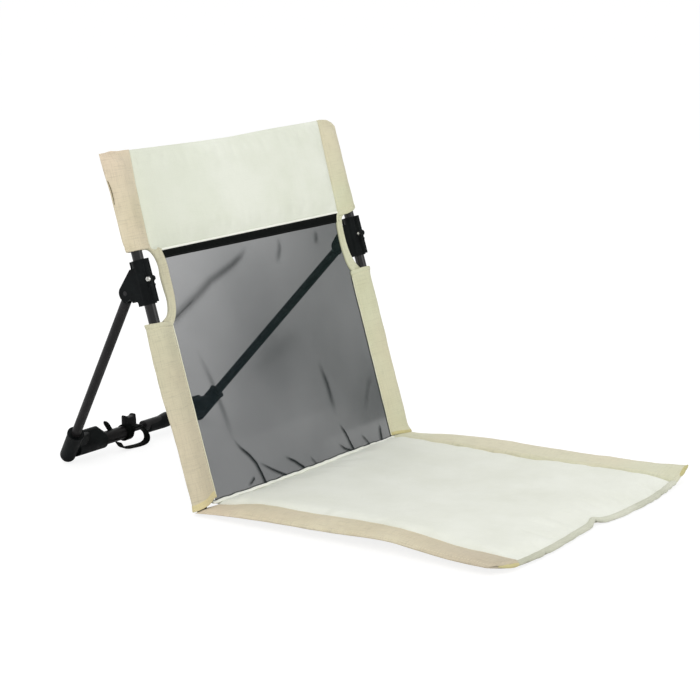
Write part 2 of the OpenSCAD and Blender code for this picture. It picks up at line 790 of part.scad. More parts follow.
upright(-1);  // upright_left
upright(1);  // upright_right
top_cap(-1);  // top_cap_left
top_cap(1);  // top_cap_right
foot_plug(-1);  // foot_plug_left
foot_plug(1);  // foot_plug_right
bracket(-1);  // bracket_left
bracket(1);  // bracket_right
clamp_bolt(-1);  // clamp_bolt_left
clamp_bolt(1);  // clamp_bolt_right
clamp_nut(-1);  // clamp_nut_left
clamp_nut(1);  // clamp_nut_right
pivot_pin(-1);  // pivot_pin_left
pivot_pin(1);  // pivot_pin_right
head_panel(-1);  // headrest_front
head_panel(1);  // headrest_back
headrest_sleeve(-1);  // headrest_sleeve_left
headrest_sleeve(1);  // headrest_sleeve_right
webbing_band();
mesh_panel();
window_binding(-1);  // window_binding_left
window_binding(1);  // window_binding_right
lower_sleeve(-1);  // lower_sleeve_left
lower_sleeve(1);  // lower_sleeve_right
knuckle(-1);  // knuckle_left
knuckle(1);  // knuckle_right
leg(-1);  // leg_left
leg(1);  // leg_right
elbow(-1);  // elbow_left
elbow(1);  // elbow_right
bar_tube(-1);  // bar_tube_left
bar_tube(1);  // bar_tube_right
bar_ferrule_left();
bar_ferrule_right();
bar_core();
strap_anchor();
strap_band();
strap_buckle();
strap_tail();
seat_top();
seat_pad();
seat_base();
seat_band(-1);  // seat_band_left
seat_band(1);  // seat_band_right
front_hem();
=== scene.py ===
"""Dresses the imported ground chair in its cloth, mesh, webbing, moulded plastic and coated tubes."""
import json
from math import copysign, cos, exp, pi, radians, sin, sqrt

import bmesh
import bpy
import numpy as np
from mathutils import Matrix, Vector, noise
from mathutils.bvhtree import BVHTree


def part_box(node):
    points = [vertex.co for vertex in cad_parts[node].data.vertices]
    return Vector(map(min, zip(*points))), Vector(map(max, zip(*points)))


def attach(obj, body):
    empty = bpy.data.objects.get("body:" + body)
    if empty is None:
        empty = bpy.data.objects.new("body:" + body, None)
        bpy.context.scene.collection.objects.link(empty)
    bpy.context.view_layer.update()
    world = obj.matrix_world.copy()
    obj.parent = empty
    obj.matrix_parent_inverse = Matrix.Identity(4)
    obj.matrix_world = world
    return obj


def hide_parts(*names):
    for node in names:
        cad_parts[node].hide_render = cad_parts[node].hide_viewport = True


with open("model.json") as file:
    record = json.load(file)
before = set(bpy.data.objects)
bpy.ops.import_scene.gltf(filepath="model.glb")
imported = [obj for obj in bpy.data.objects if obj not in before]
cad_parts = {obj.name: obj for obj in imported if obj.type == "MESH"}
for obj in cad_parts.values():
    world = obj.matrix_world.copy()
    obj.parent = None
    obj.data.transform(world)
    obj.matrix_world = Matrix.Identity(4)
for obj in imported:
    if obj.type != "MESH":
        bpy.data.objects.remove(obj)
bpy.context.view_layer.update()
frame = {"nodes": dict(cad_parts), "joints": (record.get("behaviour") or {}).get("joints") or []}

# Driving sizes of the chair, in millimetres, as the solids have them
MM = 0.001
RECLINE = radians(17)
HALF_W = 212
PANEL_HALF = 171
BAND_W = HALF_W - PANEL_HALF
BACK_LEN = 384
WINDOW_LOW = 203
WINDOW_TOP = 276
WEB_H = 10
WEB_T = 1.8
UPRIGHT_X = 197.5
UPRIGHT_R = 6
CAP_TOP = 376
SEAT_T = 9
SEAT_LEN = 359
FOOT_GAP = 7.8
CLOTH_T = 1.1
HINGE_Y = next(j["pos_m"] for j in frame["joints"] if j["name"] == "seat_fold")[1] / MM
FOOT_Y = HINGE_Y + FOOT_GAP
FRONT_Y = HINGE_Y - SEAT_LEN
REAR_Y = FOOT_Y + FOOT_GAP / 4
LABEL = {-1: "left", 1: "right"}


# Places and curves
def on_back(x, n, s):
    """A point of the back: x across, n square to it towards the rear, s up its slope."""
    return np.array((x, FOOT_Y + s * sin(RECLINE) + n * cos(RECLINE), UPRIGHT_R + s * cos(RECLINE) - n * sin(RECLINE)))


REARWARD = on_back(0, 1, 0) - on_back(0, 0, 0)

def clamp(value, low=0.0, high=1.0):
    return max(low, min(high, value))


def smooth(value):
    """A smooth step from 0 to 1."""
    t = clamp(value)
    return t * t * (3 - 2 * t)


def bell(x, width):
    """A bell curve: 1 at zero, and next to nothing from twice the width on."""
    return exp(-(x / width) ** 2)


def quarter(share):
    """Height of a quarter circle that starts at share 0 and ends at share 1."""
    return sqrt(1 - (1 - clamp(share)) ** 2)


def squarer(c, power):
    """A sine or cosine, changed so that the circle turns squarer."""
    return copysign(abs(c) ** power, c)


def circle(count):
    """Cosines and sines of points round a circle."""
    return [(cos(a), sin(a)) for a in np.linspace(0, 2 * pi, count, endpoint=False)]


def straight(rows, x):
    """The line through rows of (place, value), level past its ends."""
    return float(np.interp(x, [r[0] for r in rows], [r[1] for r in rows]))


def waver(x, y, size, seed=0.0):
    """Smooth noise between about -1 and 1, with waves of about that size."""
    return noise.noise(Vector((x / size, y / size, seed)))


def table_at(rows, x):
    """A smooth curve through rows of (place, value), level past its ends."""
    if x <= rows[0][0]:
        return rows[0][1]
    for k, ((a, p), (b, q)) in enumerate(zip(rows, rows[1:])):
        if x <= b:
            before, after = rows[max(k - 1, 0)], rows[min(k + 2, len(rows) - 1)]
            start = (q - before[1]) / (b - before[0]) * (b - a)
            stop = (after[1] - p) / (after[0] - a) * (b - a)
            t = (x - a) / (b - a)
            return (p + t * start + t * t * (3 * (q - p) - 2 * start - stop)
                    + t ** 3 * (2 * (p - q) + start + stop))
    return rows[-1][1]


def spline(points, count):
    """A Catmull-Rom curve through the points, as count + 1 points."""
    pts = [np.array(p, float) for p in points]
    pts = [2 * pts[0] - pts[1]] + pts + [2 * pts[-1] - pts[-2]]
    spans = len(pts) - 3
    made = []
    for i in range(count + 1):
        way = i / count * spans
        k = min(int(way), spans - 1)
        t = way - k
        a, b, c, d = pts[k:k + 4]
        made.append(0.5 * (2 * b + (c - a) * t + (2 * a - 5 * b + 4 * c - d) * t * t
                           + (3 * b - a - 3 * c + d) * t ** 3))
    return made


# Meshes
def link(name, data):
    """A new object of the scene."""
    obj = bpy.data.objects.new(name, data)
    bpy.context.scene.collection.objects.link(obj)
    return obj


def piece(name, form, material, sharp=60):
    """A smooth-shaded mesh object from a form: its points in millimetres, and its faces."""
    points, faces = form
    mesh = bpy.data.meshes.new(name)
    mesh.from_pydata((np.array(points, float) * MM).tolist(), [], faces)
    work = bmesh.new()
    work.from_mesh(mesh)
    bmesh.ops.recalc_face_normals(work, faces=work.faces)
    work.to_mesh(mesh)
    work.free()
    mesh.polygons.foreach_set("use_smooth", [True] * len(mesh.polygons))
    mesh.set_sharp_from_angle(angle=radians(sharp))
    mesh.materials.append(material)
    return link(name, mesh)


def belongs(obj, body, slot, *nodes):
    """Rides the piece on its body, and hides the solids that it stands for. Its slot is not used."""
    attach(obj, body)
    if nodes:
        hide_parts(*nodes)
    return obj


def put(name, form, material, sharp, body, slot, *nodes):
    """Makes a piece and gives it to its body."""
    return belongs(piece(name, form, material, sharp), body, slot, *nodes)


def loft_faces(rings, count, start=0):
    """Quads between rings of count points that follow each other."""
    quads = []
    for r in range(rings - 1):
        a = start + r * count
        quads += [(a + i, a + (i + 1) % count, a + count + (i + 1) % count, a + count + i) for i in range(count)]
    return quads


def loft(rings):
    """A closed form through rings, with its ends filled."""
    count = len(rings[0])
    last = (len(rings) - 1) * count
    faces = loft_faces(len(rings), count) + [tuple(range(count)), tuple(last + i for i in range(count))]
    return [p for ring in rings for p in ring], faces


def tube_cloth(outer, inner):
    """A cloth tube, open at both ends, between outer and inner rings."""
    count, rows = len(outer[0]), len(outer)
    faces = loft_faces(rows, count) + loft_faces(rows, count, rows * count)
    for a in (0, (rows - 1) * count):
        b = a + rows * count
        faces += [(a + i, a + (i + 1) % count, b + (i + 1) % count, b + i) for i in range(count)]
    return [p for ring in outer + inner for p in ring], faces


def slab(nu, nv, low, high):
    """A closed sheet between two surfaces of shares u and v."""
    row = nu + 1
    top = row * (nv + 1)
    points = [s(i / nu, j / nv) for s in (low, high) for j in range(nv + 1) for i in range(nu + 1)]
    at = [[j * row + i for i in range(nu + 1)] for j in range(nv + 1)]
    faces = []
    for j in range(nv):
        for i in range(nu):
            quad = (at[j][i], at[j][i + 1], at[j + 1][i + 1], at[j + 1][i])
            faces += [quad, tuple(top + k for k in quad)]
    edge = (at[0][:] + [at[j][nu] for j in range(1, nv + 1)] + at[nv][nu - 1::-1]
            + [at[j][0] for j in range(nv - 1, 0, -1)])
    return points, faces + [(a, b, top + b, top + a) for a, b in zip(edge, edge[1:] + edge[:1])]


def ribbon(line, across, width, thick):
    """A flat band with rounded edges along a line, whose width runs along the vector across."""
    side = np.array(across) / np.linalg.norm(across)
    bends = [pi / 2 - pi * i / 5 for i in range(6)]
    rings = []
    for k, p in enumerate(line):
        up = np.cross(line[min(k + 1, len(line) - 1)] - line[max(k - 1, 0)], side)
        up /= np.linalg.norm(up)
        half = (width[k] if isinstance(width, list) else width) / 2 - thick / 2
        rings.append([p + end * side * (half + thick / 2 * cos(a)) + end * up * thick / 2 * sin(a)
                      for end in (1, -1) for a in bends])
    return loft(rings)


def subdivide(obj):
    """Smooths a mesh by one real subdivision."""
    modifier = obj.modifiers.new("smooth", "SUBSURF")
    modifier.levels = modifier.render_levels = 1
    made = bpy.data.meshes.new_from_object(obj.evaluated_get(bpy.context.evaluated_depsgraph_get()))
    obj.modifiers.clear()
    obj.data = made


# Cloth simulation of the padded pieces
SWELL_FRAMES = 20
CLOTH_SETTINGS = {"quality": 6, "mass": 0.2, "tension_stiffness": 12, "compression_stiffness": 12,
                  "shear_stiffness": 4, "bending_stiffness": 0.35, "use_pressure": True,
                  "uniform_pressure_force": 3.0, "vertex_group_mass": "held"}


def swell(obj, held, cap, grow):
    """Swells a closed cloth form and keeps every point within cap millimetres of where it was."""
    scene = bpy.context.scene
    rest = np.array([v.co for v in obj.data.vertices])
    group = obj.vertex_groups.new(name="held")
    group.add([i for i, p in enumerate(rest) if held(p / MM)], 1.0, "REPLACE")
    cloth = obj.modifiers.new("cloth", "CLOTH")
    for key, value in CLOTH_SETTINGS.items():
        setattr(cloth.settings, key, value)
    cloth.settings.shrink_min = -grow
    cloth.settings.effector_weights.gravity = 0
    cloth.collision_settings.use_collision = False
    cloth.point_cache.frame_end = SWELL_FRAMES
    for step in range(1, SWELL_FRAMES + 1):
        scene.frame_set(step)
    graph = bpy.context.evaluated_depsgraph_get()
    moved = np.array([v.co for v in obj.evaluated_get(graph).data.vertices]) - rest
    far = np.linalg.norm(moved, axis=1, keepdims=True)
    limit = cap * MM
    kept = moved * np.where(far > 1e-9, limit * np.tanh(far / limit) / np.maximum(far, 1e-9), 1)
    obj.modifiers.clear()
    obj.vertex_groups.clear()
    obj.data.vertices.foreach_set("co", (rest + kept).astype(np.float32).ravel())
    obj.data.update()
    scene.frame_set(1)


# Materials
def srgb(value):
    """A colour as it is seen, from 0 to 255, made linear. A socket stays as it is."""
    if isinstance(value, bpy.types.NodeSocket):
        return value
    shares = [c / 255 for c in value]
    return (*(c / 12.92 if c <= 0.04045 else ((c + 0.055) / 1.055) ** 2.4 for c in shares), 1)


class Nodes:
    """A cleared node tree, with short names for what its nodes do."""

    def __init__(self, owner):
        owner.use_nodes = True
        self.owner, self.tree = owner, owner.node_tree
        self.tree.nodes.clear()

    def fill(self, socket, value):
        """Links a socket, or sets it."""
        if isinstance(value, bpy.types.NodeSocket):
            self.tree.links.new(value, socket)
        else:
            socket.default_value = value

    def add(self, kind, inputs=None, **settings):
        """Adds a node, with its settings, its values and its links."""
        node = self.tree.nodes.new("ShaderNode" + kind)
        for key, value in settings.items():
            setattr(node, key, value)
        for key, value in (inputs or {}).items():
            self.fill(node.inputs[key], value)
        return node

    def mix(self, factor, a, b, blend="MIX"):
        """Mixes two colours."""
        return self.add("Mix", {0: factor, 6: srgb(a), 7: srgb(b)}, data_type="RGBA", blend_type=blend).outputs[2]

    def calc(self, operation, a, b=0.0, c=0.0, limit=False):
        """A sum, product or like of numbers."""
        return self.add("Math", {0: a, 1: b, 2: c}, operation=operation, use_clamp=limit).outputs[0]

    def ramp(self, value, low, high, to_low=0.0, to_high=1.0):
        """Brings a value from one range to another, and stops at its ends."""
        return self.add("MapRange", {"Value": value, "From Min": low, "From Max": high,
                                     "To Min": to_low, "To Max": to_high}).outputs[0]

    def scaled(self, scale):
        """The coordinates, stretched."""
        return self.add("VectorMath", {0: self.here, 1: scale}, operation="MULTIPLY").outputs[0]

    def along(self, axis):
        """One coordinate."""
        return self.add("SeparateXYZ", {0: self.here}).outputs[axis]

    def speckle(self, scale, detail=2.0, rough=0.5, stretch=None):
        """Noise, as a number about 0.5."""
        vector = self.scaled(stretch) if stretch else self.here
        return self.add("TexNoise", {"Vector": vector, "Scale": scale, "Detail": detail,
                                     "Roughness": rough}).outputs[0]

    def weave(self, pitch):
        """Height of a plain weave: threads of that pitch, over and under each other."""
        flat = self.scaled((1, 1, 0))
        warp, weft = (self.add("TexWave", {"Vector": flat, "Scale": pi / 10 / pitch}, bands_direction=axis).outputs[1]
                      for axis in "XY")
        over = self.add("TexChecker", {"Vector": flat, "Scale": 1 / pitch}).outputs[1]
        return self.add("Mix", {0: over, 2: warp, 3: weft}).outputs[0]

    def set(self, **values):
        """Fills inputs of the Principled shader, an underscore standing for a space."""
        for key, value in values.items():
            self.fill(self.shader.inputs[key.replace("_", " ")], value)

    def bump(self, height, strength, distance, normal=None):
        """Lays a height on the shader's normal."""
        node = self.add("Bump", {"Height": height, "Strength": strength, "Distance": distance})
        if normal is not None:
            self.fill(node.inputs["Normal"], normal)
        self.set(Normal=node.outputs[0])
        return node.outputs[0]


def lit(name, plane=None, roughness=0.6, metallic=0.0, specular=0.5):
    """A material's nodes with one Principled shader. Coordinates are in metres: X across and Y along the seat,
    or along the back's slope."""
    n = Nodes(bpy.data.materials.new(name))
    n.shader = n.add("BsdfPrincipled", {"Roughness": roughness, "Metallic": metallic,
                                        "Specular IOR Level": specular})
    n.fill(n.add("OutputMaterial").inputs["Surface"], n.shader.outputs[0])
    n.here = n.add("TexCoord").outputs["Object"]
    if plane == "back":
        n.here = n.add("Mapping", {"Vector": n.here, "Rotation": (RECLINE - pi / 2, 0, 0)}).outputs[0]
    return n


def cloth(name, plane, light, dark, warm=None, slub=0.35, left=None, front=None):
    """Woven cloth: threads, thicker threads here and there, soft stains, a warmer tint in places, and painted shade
    towards the left or the front where left or front is given.
    """
    n = lit(name, plane, roughness=0.9, specular=0.25)
    n.set(Sheen_Weight=0.12, Sheen_Roughness=0.5)
    threads = n.weave(0.0011)
    streaks = n.calc("ADD", *(n.ramp(n.speckle(1.0, stretch=s), 0.52, 0.72) for s in ((1400, 60, 60), (60, 1400, 60))))
    colour = n.mix(n.ramp(n.speckle(16, 4.0, 0.6), 0.35, 0.68), light, dark)
    if warm:
        colour = n.mix(n.ramp(n.speckle(5.5), 0.42, 0.6), colour, warm)
    # left and front are colours of painted shade, laid on towards the left end or towards the front.
    for tint, axis, shade_reach in ((left, 0, (-0.17, -0.05, 0.8, 0.0)), (front, 1, (-0.31, -0.2, 0.85, 0.0))):
        if tint:
            colour = n.mix(n.ramp(n.along(axis), *shade_reach), colour, tint)
    shade = n.calc("MULTIPLY_ADD", threads, 0.09, 0.94)
    shade = n.calc("MULTIPLY_ADD", streaks, -0.13 * slub, shade)
    shade = n.calc("MULTIPLY_ADD", n.speckle(2600, 1.0), 0.015, shade)
    grey = n.add("CombineColor", {0: shade, 1: shade, 2: shade}).outputs[0]
    n.set(Base_Color=n.mix(1.0, colour, grey, "MULTIPLY"))
    creases = n.bump(n.speckle(70, 3.0), 0.25, 0.0012)
    n.bump(n.calc("MULTIPLY_ADD", streaks, slub, threads), 0.5, 0.00022, creases)
    return n.owner


def open_mesh(name):
    """Black open knit: what shows is mostly the pale ground behind, through its holes. How much it stops also carries
    painted shadow of the ground behind it, and its folds are painted darker as painted shade.
    """
    n = lit(name, "back", roughness=0.7, specular=0.05)
    fold, cover_with_shadow = (n.add("Attribute", attribute_name=key).outputs["Fac"] for key in ("fold", "cover_with_shadow"))
    threads = n.weave(0.0009)
    # The knit's cover read here includes painted shadow of the ground behind it.
    cover = n.calc("ADD", cover_with_shadow, n.calc("MULTIPLY_ADD", threads, 0.12, -0.06))
    cover = n.calc("MULTIPLY_ADD", fold, 0.24, cover)
    clouds = n.calc("MULTIPLY_ADD", n.speckle(14, 3.0), 0.06, -0.03)
    through = n.calc("SUBTRACT", 1.0, n.calc("ADD", cover, clouds), limit=True)
    tint = n.mix(n.ramp(n.along(0), -0.16, 0.1), (32, 42, 46), (29, 41, 40))
    # Threads in folds are painted darker (22, 29, 29), as painted shade in the creases.
    n.set(Alpha=n.calc("SUBTRACT", 1.0, n.calc("SQRT", through), limit=True),
          Base_Color=n.mix(fold, tint, (22, 29, 29)))
    n.bump(threads, 0.6, 0.0003)
    return n.owner


def webbing(name, plane, axis):
    """Black ribbed webbing."""
    n = lit(name, plane, specular=0.05)
    ribs = n.add("TexWave", {"Vector": n.here, "Scale": pi / 10 / 0.0013, "Distortion": 0.6, "Detail Scale": 2.0},
                 bands_direction=axis).outputs[1]
    colour = n.mix(n.ramp(n.speckle(90, 5.0, 0.7), 0.45, 0.75), (4, 7, 5), (11, 14, 12))
    n.set(Base_Color=n.mix(n.calc("MULTIPLY", ribs, 0.35), colour, (15, 19, 17)))
    n.bump(n.calc("MULTIPLY_ADD", n.weave(0.0007), 0.5, ribs), 0.55, 0.0004)
    return n.owner


def moulded(name, dark, light, rough):
    """Moulded plastic: a fine grain, scuffs, and edges that catch the light."""
    n = lit(name, specular=0.1)
    round_edge = n.add("Bevel", {"Radius": 0.0006}, samples=4).outputs[0]
    facing = n.add("NewGeometry").outputs["Normal"]
    apart = n.add("VectorMath", {0: round_edge, 1: facing}, operation="DOT_PRODUCT").outputs["Value"]
    edge = n.calc("MULTIPLY", n.ramp(apart, 0.995, 0.9), n.ramp(n.speckle(160, 4.0, 0.65), 0.4, 0.62))
    scuffs = n.ramp(n.speckle(1.0, 4.0, stretch=(900, 120, 300)), 0.6, 0.78)
    colour = n.mix(n.ramp(n.speckle(55, 3.0), 0.4, 0.65), dark, light)
    colour = n.mix(n.calc("MULTIPLY", edge, 0.4), colour, (76, 81, 82))
    n.set(Base_Color=n.mix(n.calc("MULTIPLY", scuffs, 0.2), colour, (52, 56, 57)),
          Roughness=n.ramp(n.speckle(240, 3.0), 0.3, 0.7, rough - 0.08, rough + 0.1))
    n.bump(n.speckle(1900), 0.18, 0.00018, round_edge)
    return n.owner


def coated(name, dark, light, rough=0.36, specular=0.2):
    """Powder-coated tube: orange peel, dust and small chips."""
    n = lit(name, specular=specular)
    colour = n.mix(n.ramp(n.speckle(40, 4.0), 0.35, 0.68), dark, light)
    chips = n.ramp(n.speckle(520, 5.0, 0.7), 0.7, 0.76)
    n.set(Base_Color=n.mix(n.calc("MULTIPLY", chips, 0.4), colour, (74, 72, 71)),
          Roughness=n.ramp(n.speckle(120, 3.0), 0.3, 0.7, rough - 0.06, rough + 0.12))
    n.bump(n.speckle(1300), 0.12, 0.00015)
    return n.owner


def zinc(name):
    """Bright zinc with brushed rings and a few dull spots."""
    n = lit(name, metallic=1.0)
    dull = n.ramp(n.speckle(700, 4.0), 0.45, 0.7)
    n.set(Base_Color=n.mix(dull, (226, 226, 222), (176, 175, 168)), Roughness=n.ramp(dull, 0, 1, 0.26, 0.45))
    n.bump(n.speckle(1.0, stretch=(200, 5000, 5000)), 0.15, 0.0001)
    return n.owner


def thread(name, light, dark):
    """Sewing thread, twisted."""
    n = lit(name, roughness=0.7, specular=0.3)
    twist = n.add("TexWave", {"Vector": n.here, "Scale": 900.0}, bands_direction="DIAGONAL").outputs[1]
    n.set(Base_Color=n.mix(n.calc("MULTIPLY", twist, 0.6), light, dark))
    n.bump(twist, 0.4, 0.0001)
    return n.owner


# The cream headrest is painted darker towards its left end: painted shade.
CREAM = cloth("cream_back", "back", (236, 239, 226), (228, 232, 216), slub=0.15, left=(219, 223, 205))
CREAM_SEAT = cloth("cream_seat", "seat", (239, 241, 231), (232, 234, 222), slub=0.15)
BEIGE = {-1: cloth("beige_back_left", "back", (223, 213, 186), (212, 202, 172), (225, 208, 184), 1.0),
         1: cloth("beige_back_right", "back", (215, 216, 186), (207, 206, 173), (217, 210, 181), 0.6)}
BEIGE_LOW = {-1: cloth("beige_low_left", "back", (210, 206, 178), (199, 195, 166), (210, 200, 174), 1.0),
             1: BEIGE[1]}
# The left seat band is painted darker towards the front: painted shade.
BEIGE_SEAT = {-1: cloth("beige_seat_left", "seat", (222, 213, 186), (210, 200, 171), (222, 207, 181), 1.0,
                        front=(197, 186, 163)),
              1: cloth("beige_seat_right", "seat", (224, 224, 199), (214, 213, 185), (225, 219, 193), 0.8)}
# The hem is the cream cloth painted greyer, as painted shade on its upright front face, and darker still towards its
# left end, as more painted shade.
SHADED_HEM = cloth("shaded_hem_seat", "seat", (219, 220, 203), (199, 201, 181), slub=0.3, left=(188, 189, 168))
FOLDED = cloth("folded_cloth", "back", (212, 205, 152), (188, 181, 120), (216, 203, 158), 0.8)
DARK_LINE = cloth("shaded_line", "back", (60, 66, 62), (44, 50, 48), slub=0.2)
EDGING = cloth("pale_edging", "back", (240, 239, 218), (228, 226, 198), slub=0.2)
# Cream cloth painted whiter, as a painted highlight on rolled edges.
PAINTED_HIGHLIGHT_EDGE = cloth("painted_highlight_edge", "back", (248, 249, 240), (240, 242, 230), slub=0.1)
UNDER = cloth("coated_under", "seat", (196, 192, 178), (178, 174, 160), slub=0.4)
INSIDE = cloth("shaded_inside", "back", (122, 112, 74), (96, 88, 60), slub=0.5)
KNIT = open_mesh("open_knit")
WEBBING = webbing("webbing_back", "back", "X")
STRAP = webbing("webbing_strap", "seat", "Y")
PLASTIC = moulded("moulded_black", (8, 11, 12), (15, 19, 20), 0.42)
BUCKLE = moulded("moulded_buckle", (8, 9, 9), (15, 16, 17), 0.38)
TUBE = coated("coated_tube", (20, 19, 20), (29, 27, 28), specular=0.16)
GLOSS = coated("gloss_tube", (9, 9, 10), (17, 16, 17), 0.2, 0.5)
CORE = coated("coated_core", (24, 23, 25), (33, 32, 33), 0.42)
ZINC = zinc("bright_zinc")
PIN = coated("black_pin", (30, 30, 32), (44, 44, 45), 0.3)
BEIGE_THREAD = thread("beige_thread", (238, 230, 204), (196, 186, 156))
BLACK_THREAD = thread("black_thread", (32, 33, 33), (14, 15, 15))
FINISHES = {"upright": GLOSS, "leg": TUBE, "bar_tube": TUBE, "bar_core": CORE, "top_cap": PLASTIC,
            "foot_plug": PLASTIC, "bracket": PLASTIC, "knuckle": PLASTIC, "elbow": PLASTIC, "bar_ferrule": PLASTIC,
            "clamp_bolt": ZINC, "clamp_nut": PIN, "pivot_pin": PIN, "strap_buckle": BUCKLE}


def dress_solids():
    """Gives every solid that stays its finish."""
    for name, obj in frame["nodes"].items():
        plain = name.removesuffix("_left").removesuffix("_right")
        if plain in FINISHES:
            obj.data.materials.clear()
            obj.data.materials.append(FINISHES[plain])


# The seat's lie on the ground: height of its underside by y, for places across it
LIFT = {-212: [(-325, 10), (-300, 9), (-260, 9.5), (-225, 12), (-195, 14.5), (-160, 13.5), (-120, 11), (-70, 10.2),
               (-20, 8.6), (20, 6), (52, 3)],
        -171: [(-325, 3.2), (-300, 1.5), (-262, 1.8), (-238, 3.6), (-213, 6.5), (-180, 9), (-129, 8.6), (-76, 6.4),
               (-20, 5.6), (20, 3.2), (52, 1)],
        -60: [(-325, 1.6), (-240, 0.6), (-160, 1.6), (-60, 0.6), (52, 0)],
        60: [(-325, 0.6), (-240, 0), (52, 0)],
        171: [(-325, 3), (-290, 3.6), (-240, 3.2), (-180, 1.6), (-120, 1.2), (-60, 0.8), (52, 0)],
        212: [(-325, 16), (-308, 13), (-290, 10.6), (-251, 9.4), (-188, 8), (-135, 7.8), (-73, 8), (-37, 6.4),
              (-6, 4), (20, 1.4), (52, 0.4)]}
# Where the seat's front edge runs, by x
FRONT_LINE = [(-212, -303), (-204, -309), (-192, -315), (-174, -319), (-131, -322.6), (-86, -322.8), (-45, -320.6),
              (-15, -318.6), (-4, -316.6), (6, -320.4), (28, -325.6), (71, -328.2), (107, -328.8), (150, -326.4),
              (172, -325), (212, -321.6)]
# Gathers of the front hem: place across, depth and width, in millimetres
GATHERS = [(-158, 1.2, 5), (-141, 0.9, 3), (-124, 2.6, 3), (-119, 1.2, 2), (-84, 0.6, 5), (-52, 0.7, 6), (-12, 1.6, 3),
           (-4, 2.8, 3.4), (3, 1.2, 2.4), (24, 0.8, 6), (62, 0.9, 5), (96, 0.8, 5), (112, 1.3, 4), (131, 2.4, 3),
           (138, 1.2, 3), (152, 1.0, 4), (164, 1.8, 3)]


def front_at(x):
    """The y of the seat's front edge at x."""
    return table_at(FRONT_LINE, x)


def gather_at(x):
    """How deep the front hem is gathered at x."""
    return sum(depth * bell(x - at, width) for at, depth, width in GATHERS)


def seat_lift(x, y):
    """Height of the seat's underside: its edges bow up and its front edge waves."""
    pinch = 2.6 * bell(x + 4, 9) * smooth(1 - (y - front_at(x)) / 30)
    return max(0.0, table_at([(at, table_at(rows, y)) for at, rows in LIFT.items()], x)) + pinch


def make_seat_cushion():
    """The cream panel: a thin pillow sewn in at its rim."""
    half, rear = PANEL_HALF + 0.6, REAR_Y - 1

    def side(u, v, top):
        x = half * (2 * u - 1)
        front = front_at(x) + 3.4
        y = front + (rear - front) * v
        full = quarter(min(half - abs(x), y - front, rear - y) / 5)
        base = seat_lift(x, y)
        if not top:
            return (x, y, base + 1.3 + 1.6 * (1 - full))
        puff = 0.9 * waver(x, y, 46, 3.1) * full
        tuck = 0.8 * waver(x, 0, 13, 8.2) * smooth(1 - (REAR_Y - y) / 26)
        tuck -= 0.5 * gather_at(x) * smooth(1 - (y - front) / 16)
        deep = SEAT_T - 3.4 * smooth(1 - (y - front) / 26) - 3.4 * smooth(1 - (REAR_Y - y) / 24)
        crown = 1.6 * (1 - (x / half) ** 4) * (1 - (2 * v - 1) ** 6)
        return (x, y, base + 3.2 + (deep - 3.4) * full + crown + puff + tuck)

    form = slab(76, 78, lambda u, v: side(u, v, False), lambda u, v: side(u, v, True))
    obj = piece("seat_cushion", form, CREAM_SEAT)
    points = form[0]
    keep = {tuple(np.round(p, 3)) for i, p in enumerate(points)
            if i < len(points) // 2 or half - abs(p[0]) < 3 or p[1] - front_at(p[0]) < 6.4 or rear - p[1] < 3}
    swell(obj, lambda p: tuple(np.round(p, 3)) in keep, 2.6, 0.012)
    subdivide(obj)
    return belongs(obj, "seat", "cream_cloth", "seat_top", "seat_pad")


def make_seat_underside():
    """The coated cloth under the seat."""
    def at(u, v, z):
        x = (PANEL_HALF + 1) * (2 * u - 1)
        y = front_at(x) + 3 + (REAR_Y - front_at(x) - 4) * v
        return (x, y, seat_lift(x, y) + z)

    obj = piece("seat_underside", slab(60, 60, lambda u, v: at(u, v, 0), lambda u, v: at(u, v, CLOTH_T)), UNDER, 50)
    return belongs(obj, "seat", "base_cloth", "seat_base")


def make_seat_band(side):
    """A folded beige strip beside the panel, stuffed thinly, with a rolled outer edge."""
    stations, half_ring, rear = 120, 18, HINGE_Y + 6.2
    rings = []
    for j in range(stations + 1):
        v = j / stations
        mean = FRONT_Y + SEAT_LEN * v
        close = quarter(min(v, 1 - v) * SEAT_LEN / 3) * 0.85 + 0.15
        wave = 0.8 * waver(side * 3, mean, 34, 1.7) + 0.5 * waver(side * 5, mean, 11, 4.4)
        inner = PANEL_HALF - 0.4 + 1.1 * waver(side * 9, mean, 21, 2.2)
        outer = HALF_W - 1.2 + wave - (3.4 * sin(pi * clamp(v * 1.25)) if side < 0 else 0)
        thin = (1 - (0.63 if side < 0 else 0.3) * smooth(1 - (HINGE_Y - mean) / 66)
                - 0.22 * smooth(1 - (mean - FRONT_Y) / 24))
        ring = []
        for i in range(2 * half_ring):
            top = i < half_ring
            u = i / (half_ring - 1) if top else 1 - (i - half_ring) / (half_ring - 1)
            u = 0.5 - 0.5 * cos(pi * u)
            x = inner + (outer - inner) * u
            front = front_at(side * x) + 0.4
            y = front + (rear - front) * v
            rim = quarter(min(u, 1 - u) * BAND_W / 3)
            height = SEAT_T * (1.02 - 0.55 * u ** 3) * thin + 0.5 * sin(pi * u)
            height += 0.5 * waver(x, y * side, 17, 6.1) - 0.9 * bell(u - 0.9, 0.035)
            if side < 0:
                height -= 1.3 * bell(u - 0.7, 0.05) * smooth(1 - abs(v - 0.42) / 0.3)
            mid = height * 0.42
            z = mid + (height - mid) * rim * close if top else mid - mid * rim * close
            ring.append((side * x, y, seat_lift(side * x, y) + z + 0.05))
        rings.append(ring)
    return put(f"seat_band_{LABEL[side]}_cloth", loft(rings), BEIGE_SEAT[side], 60, "seat", "beige_cloth",
               "seat_band_" + LABEL[side])


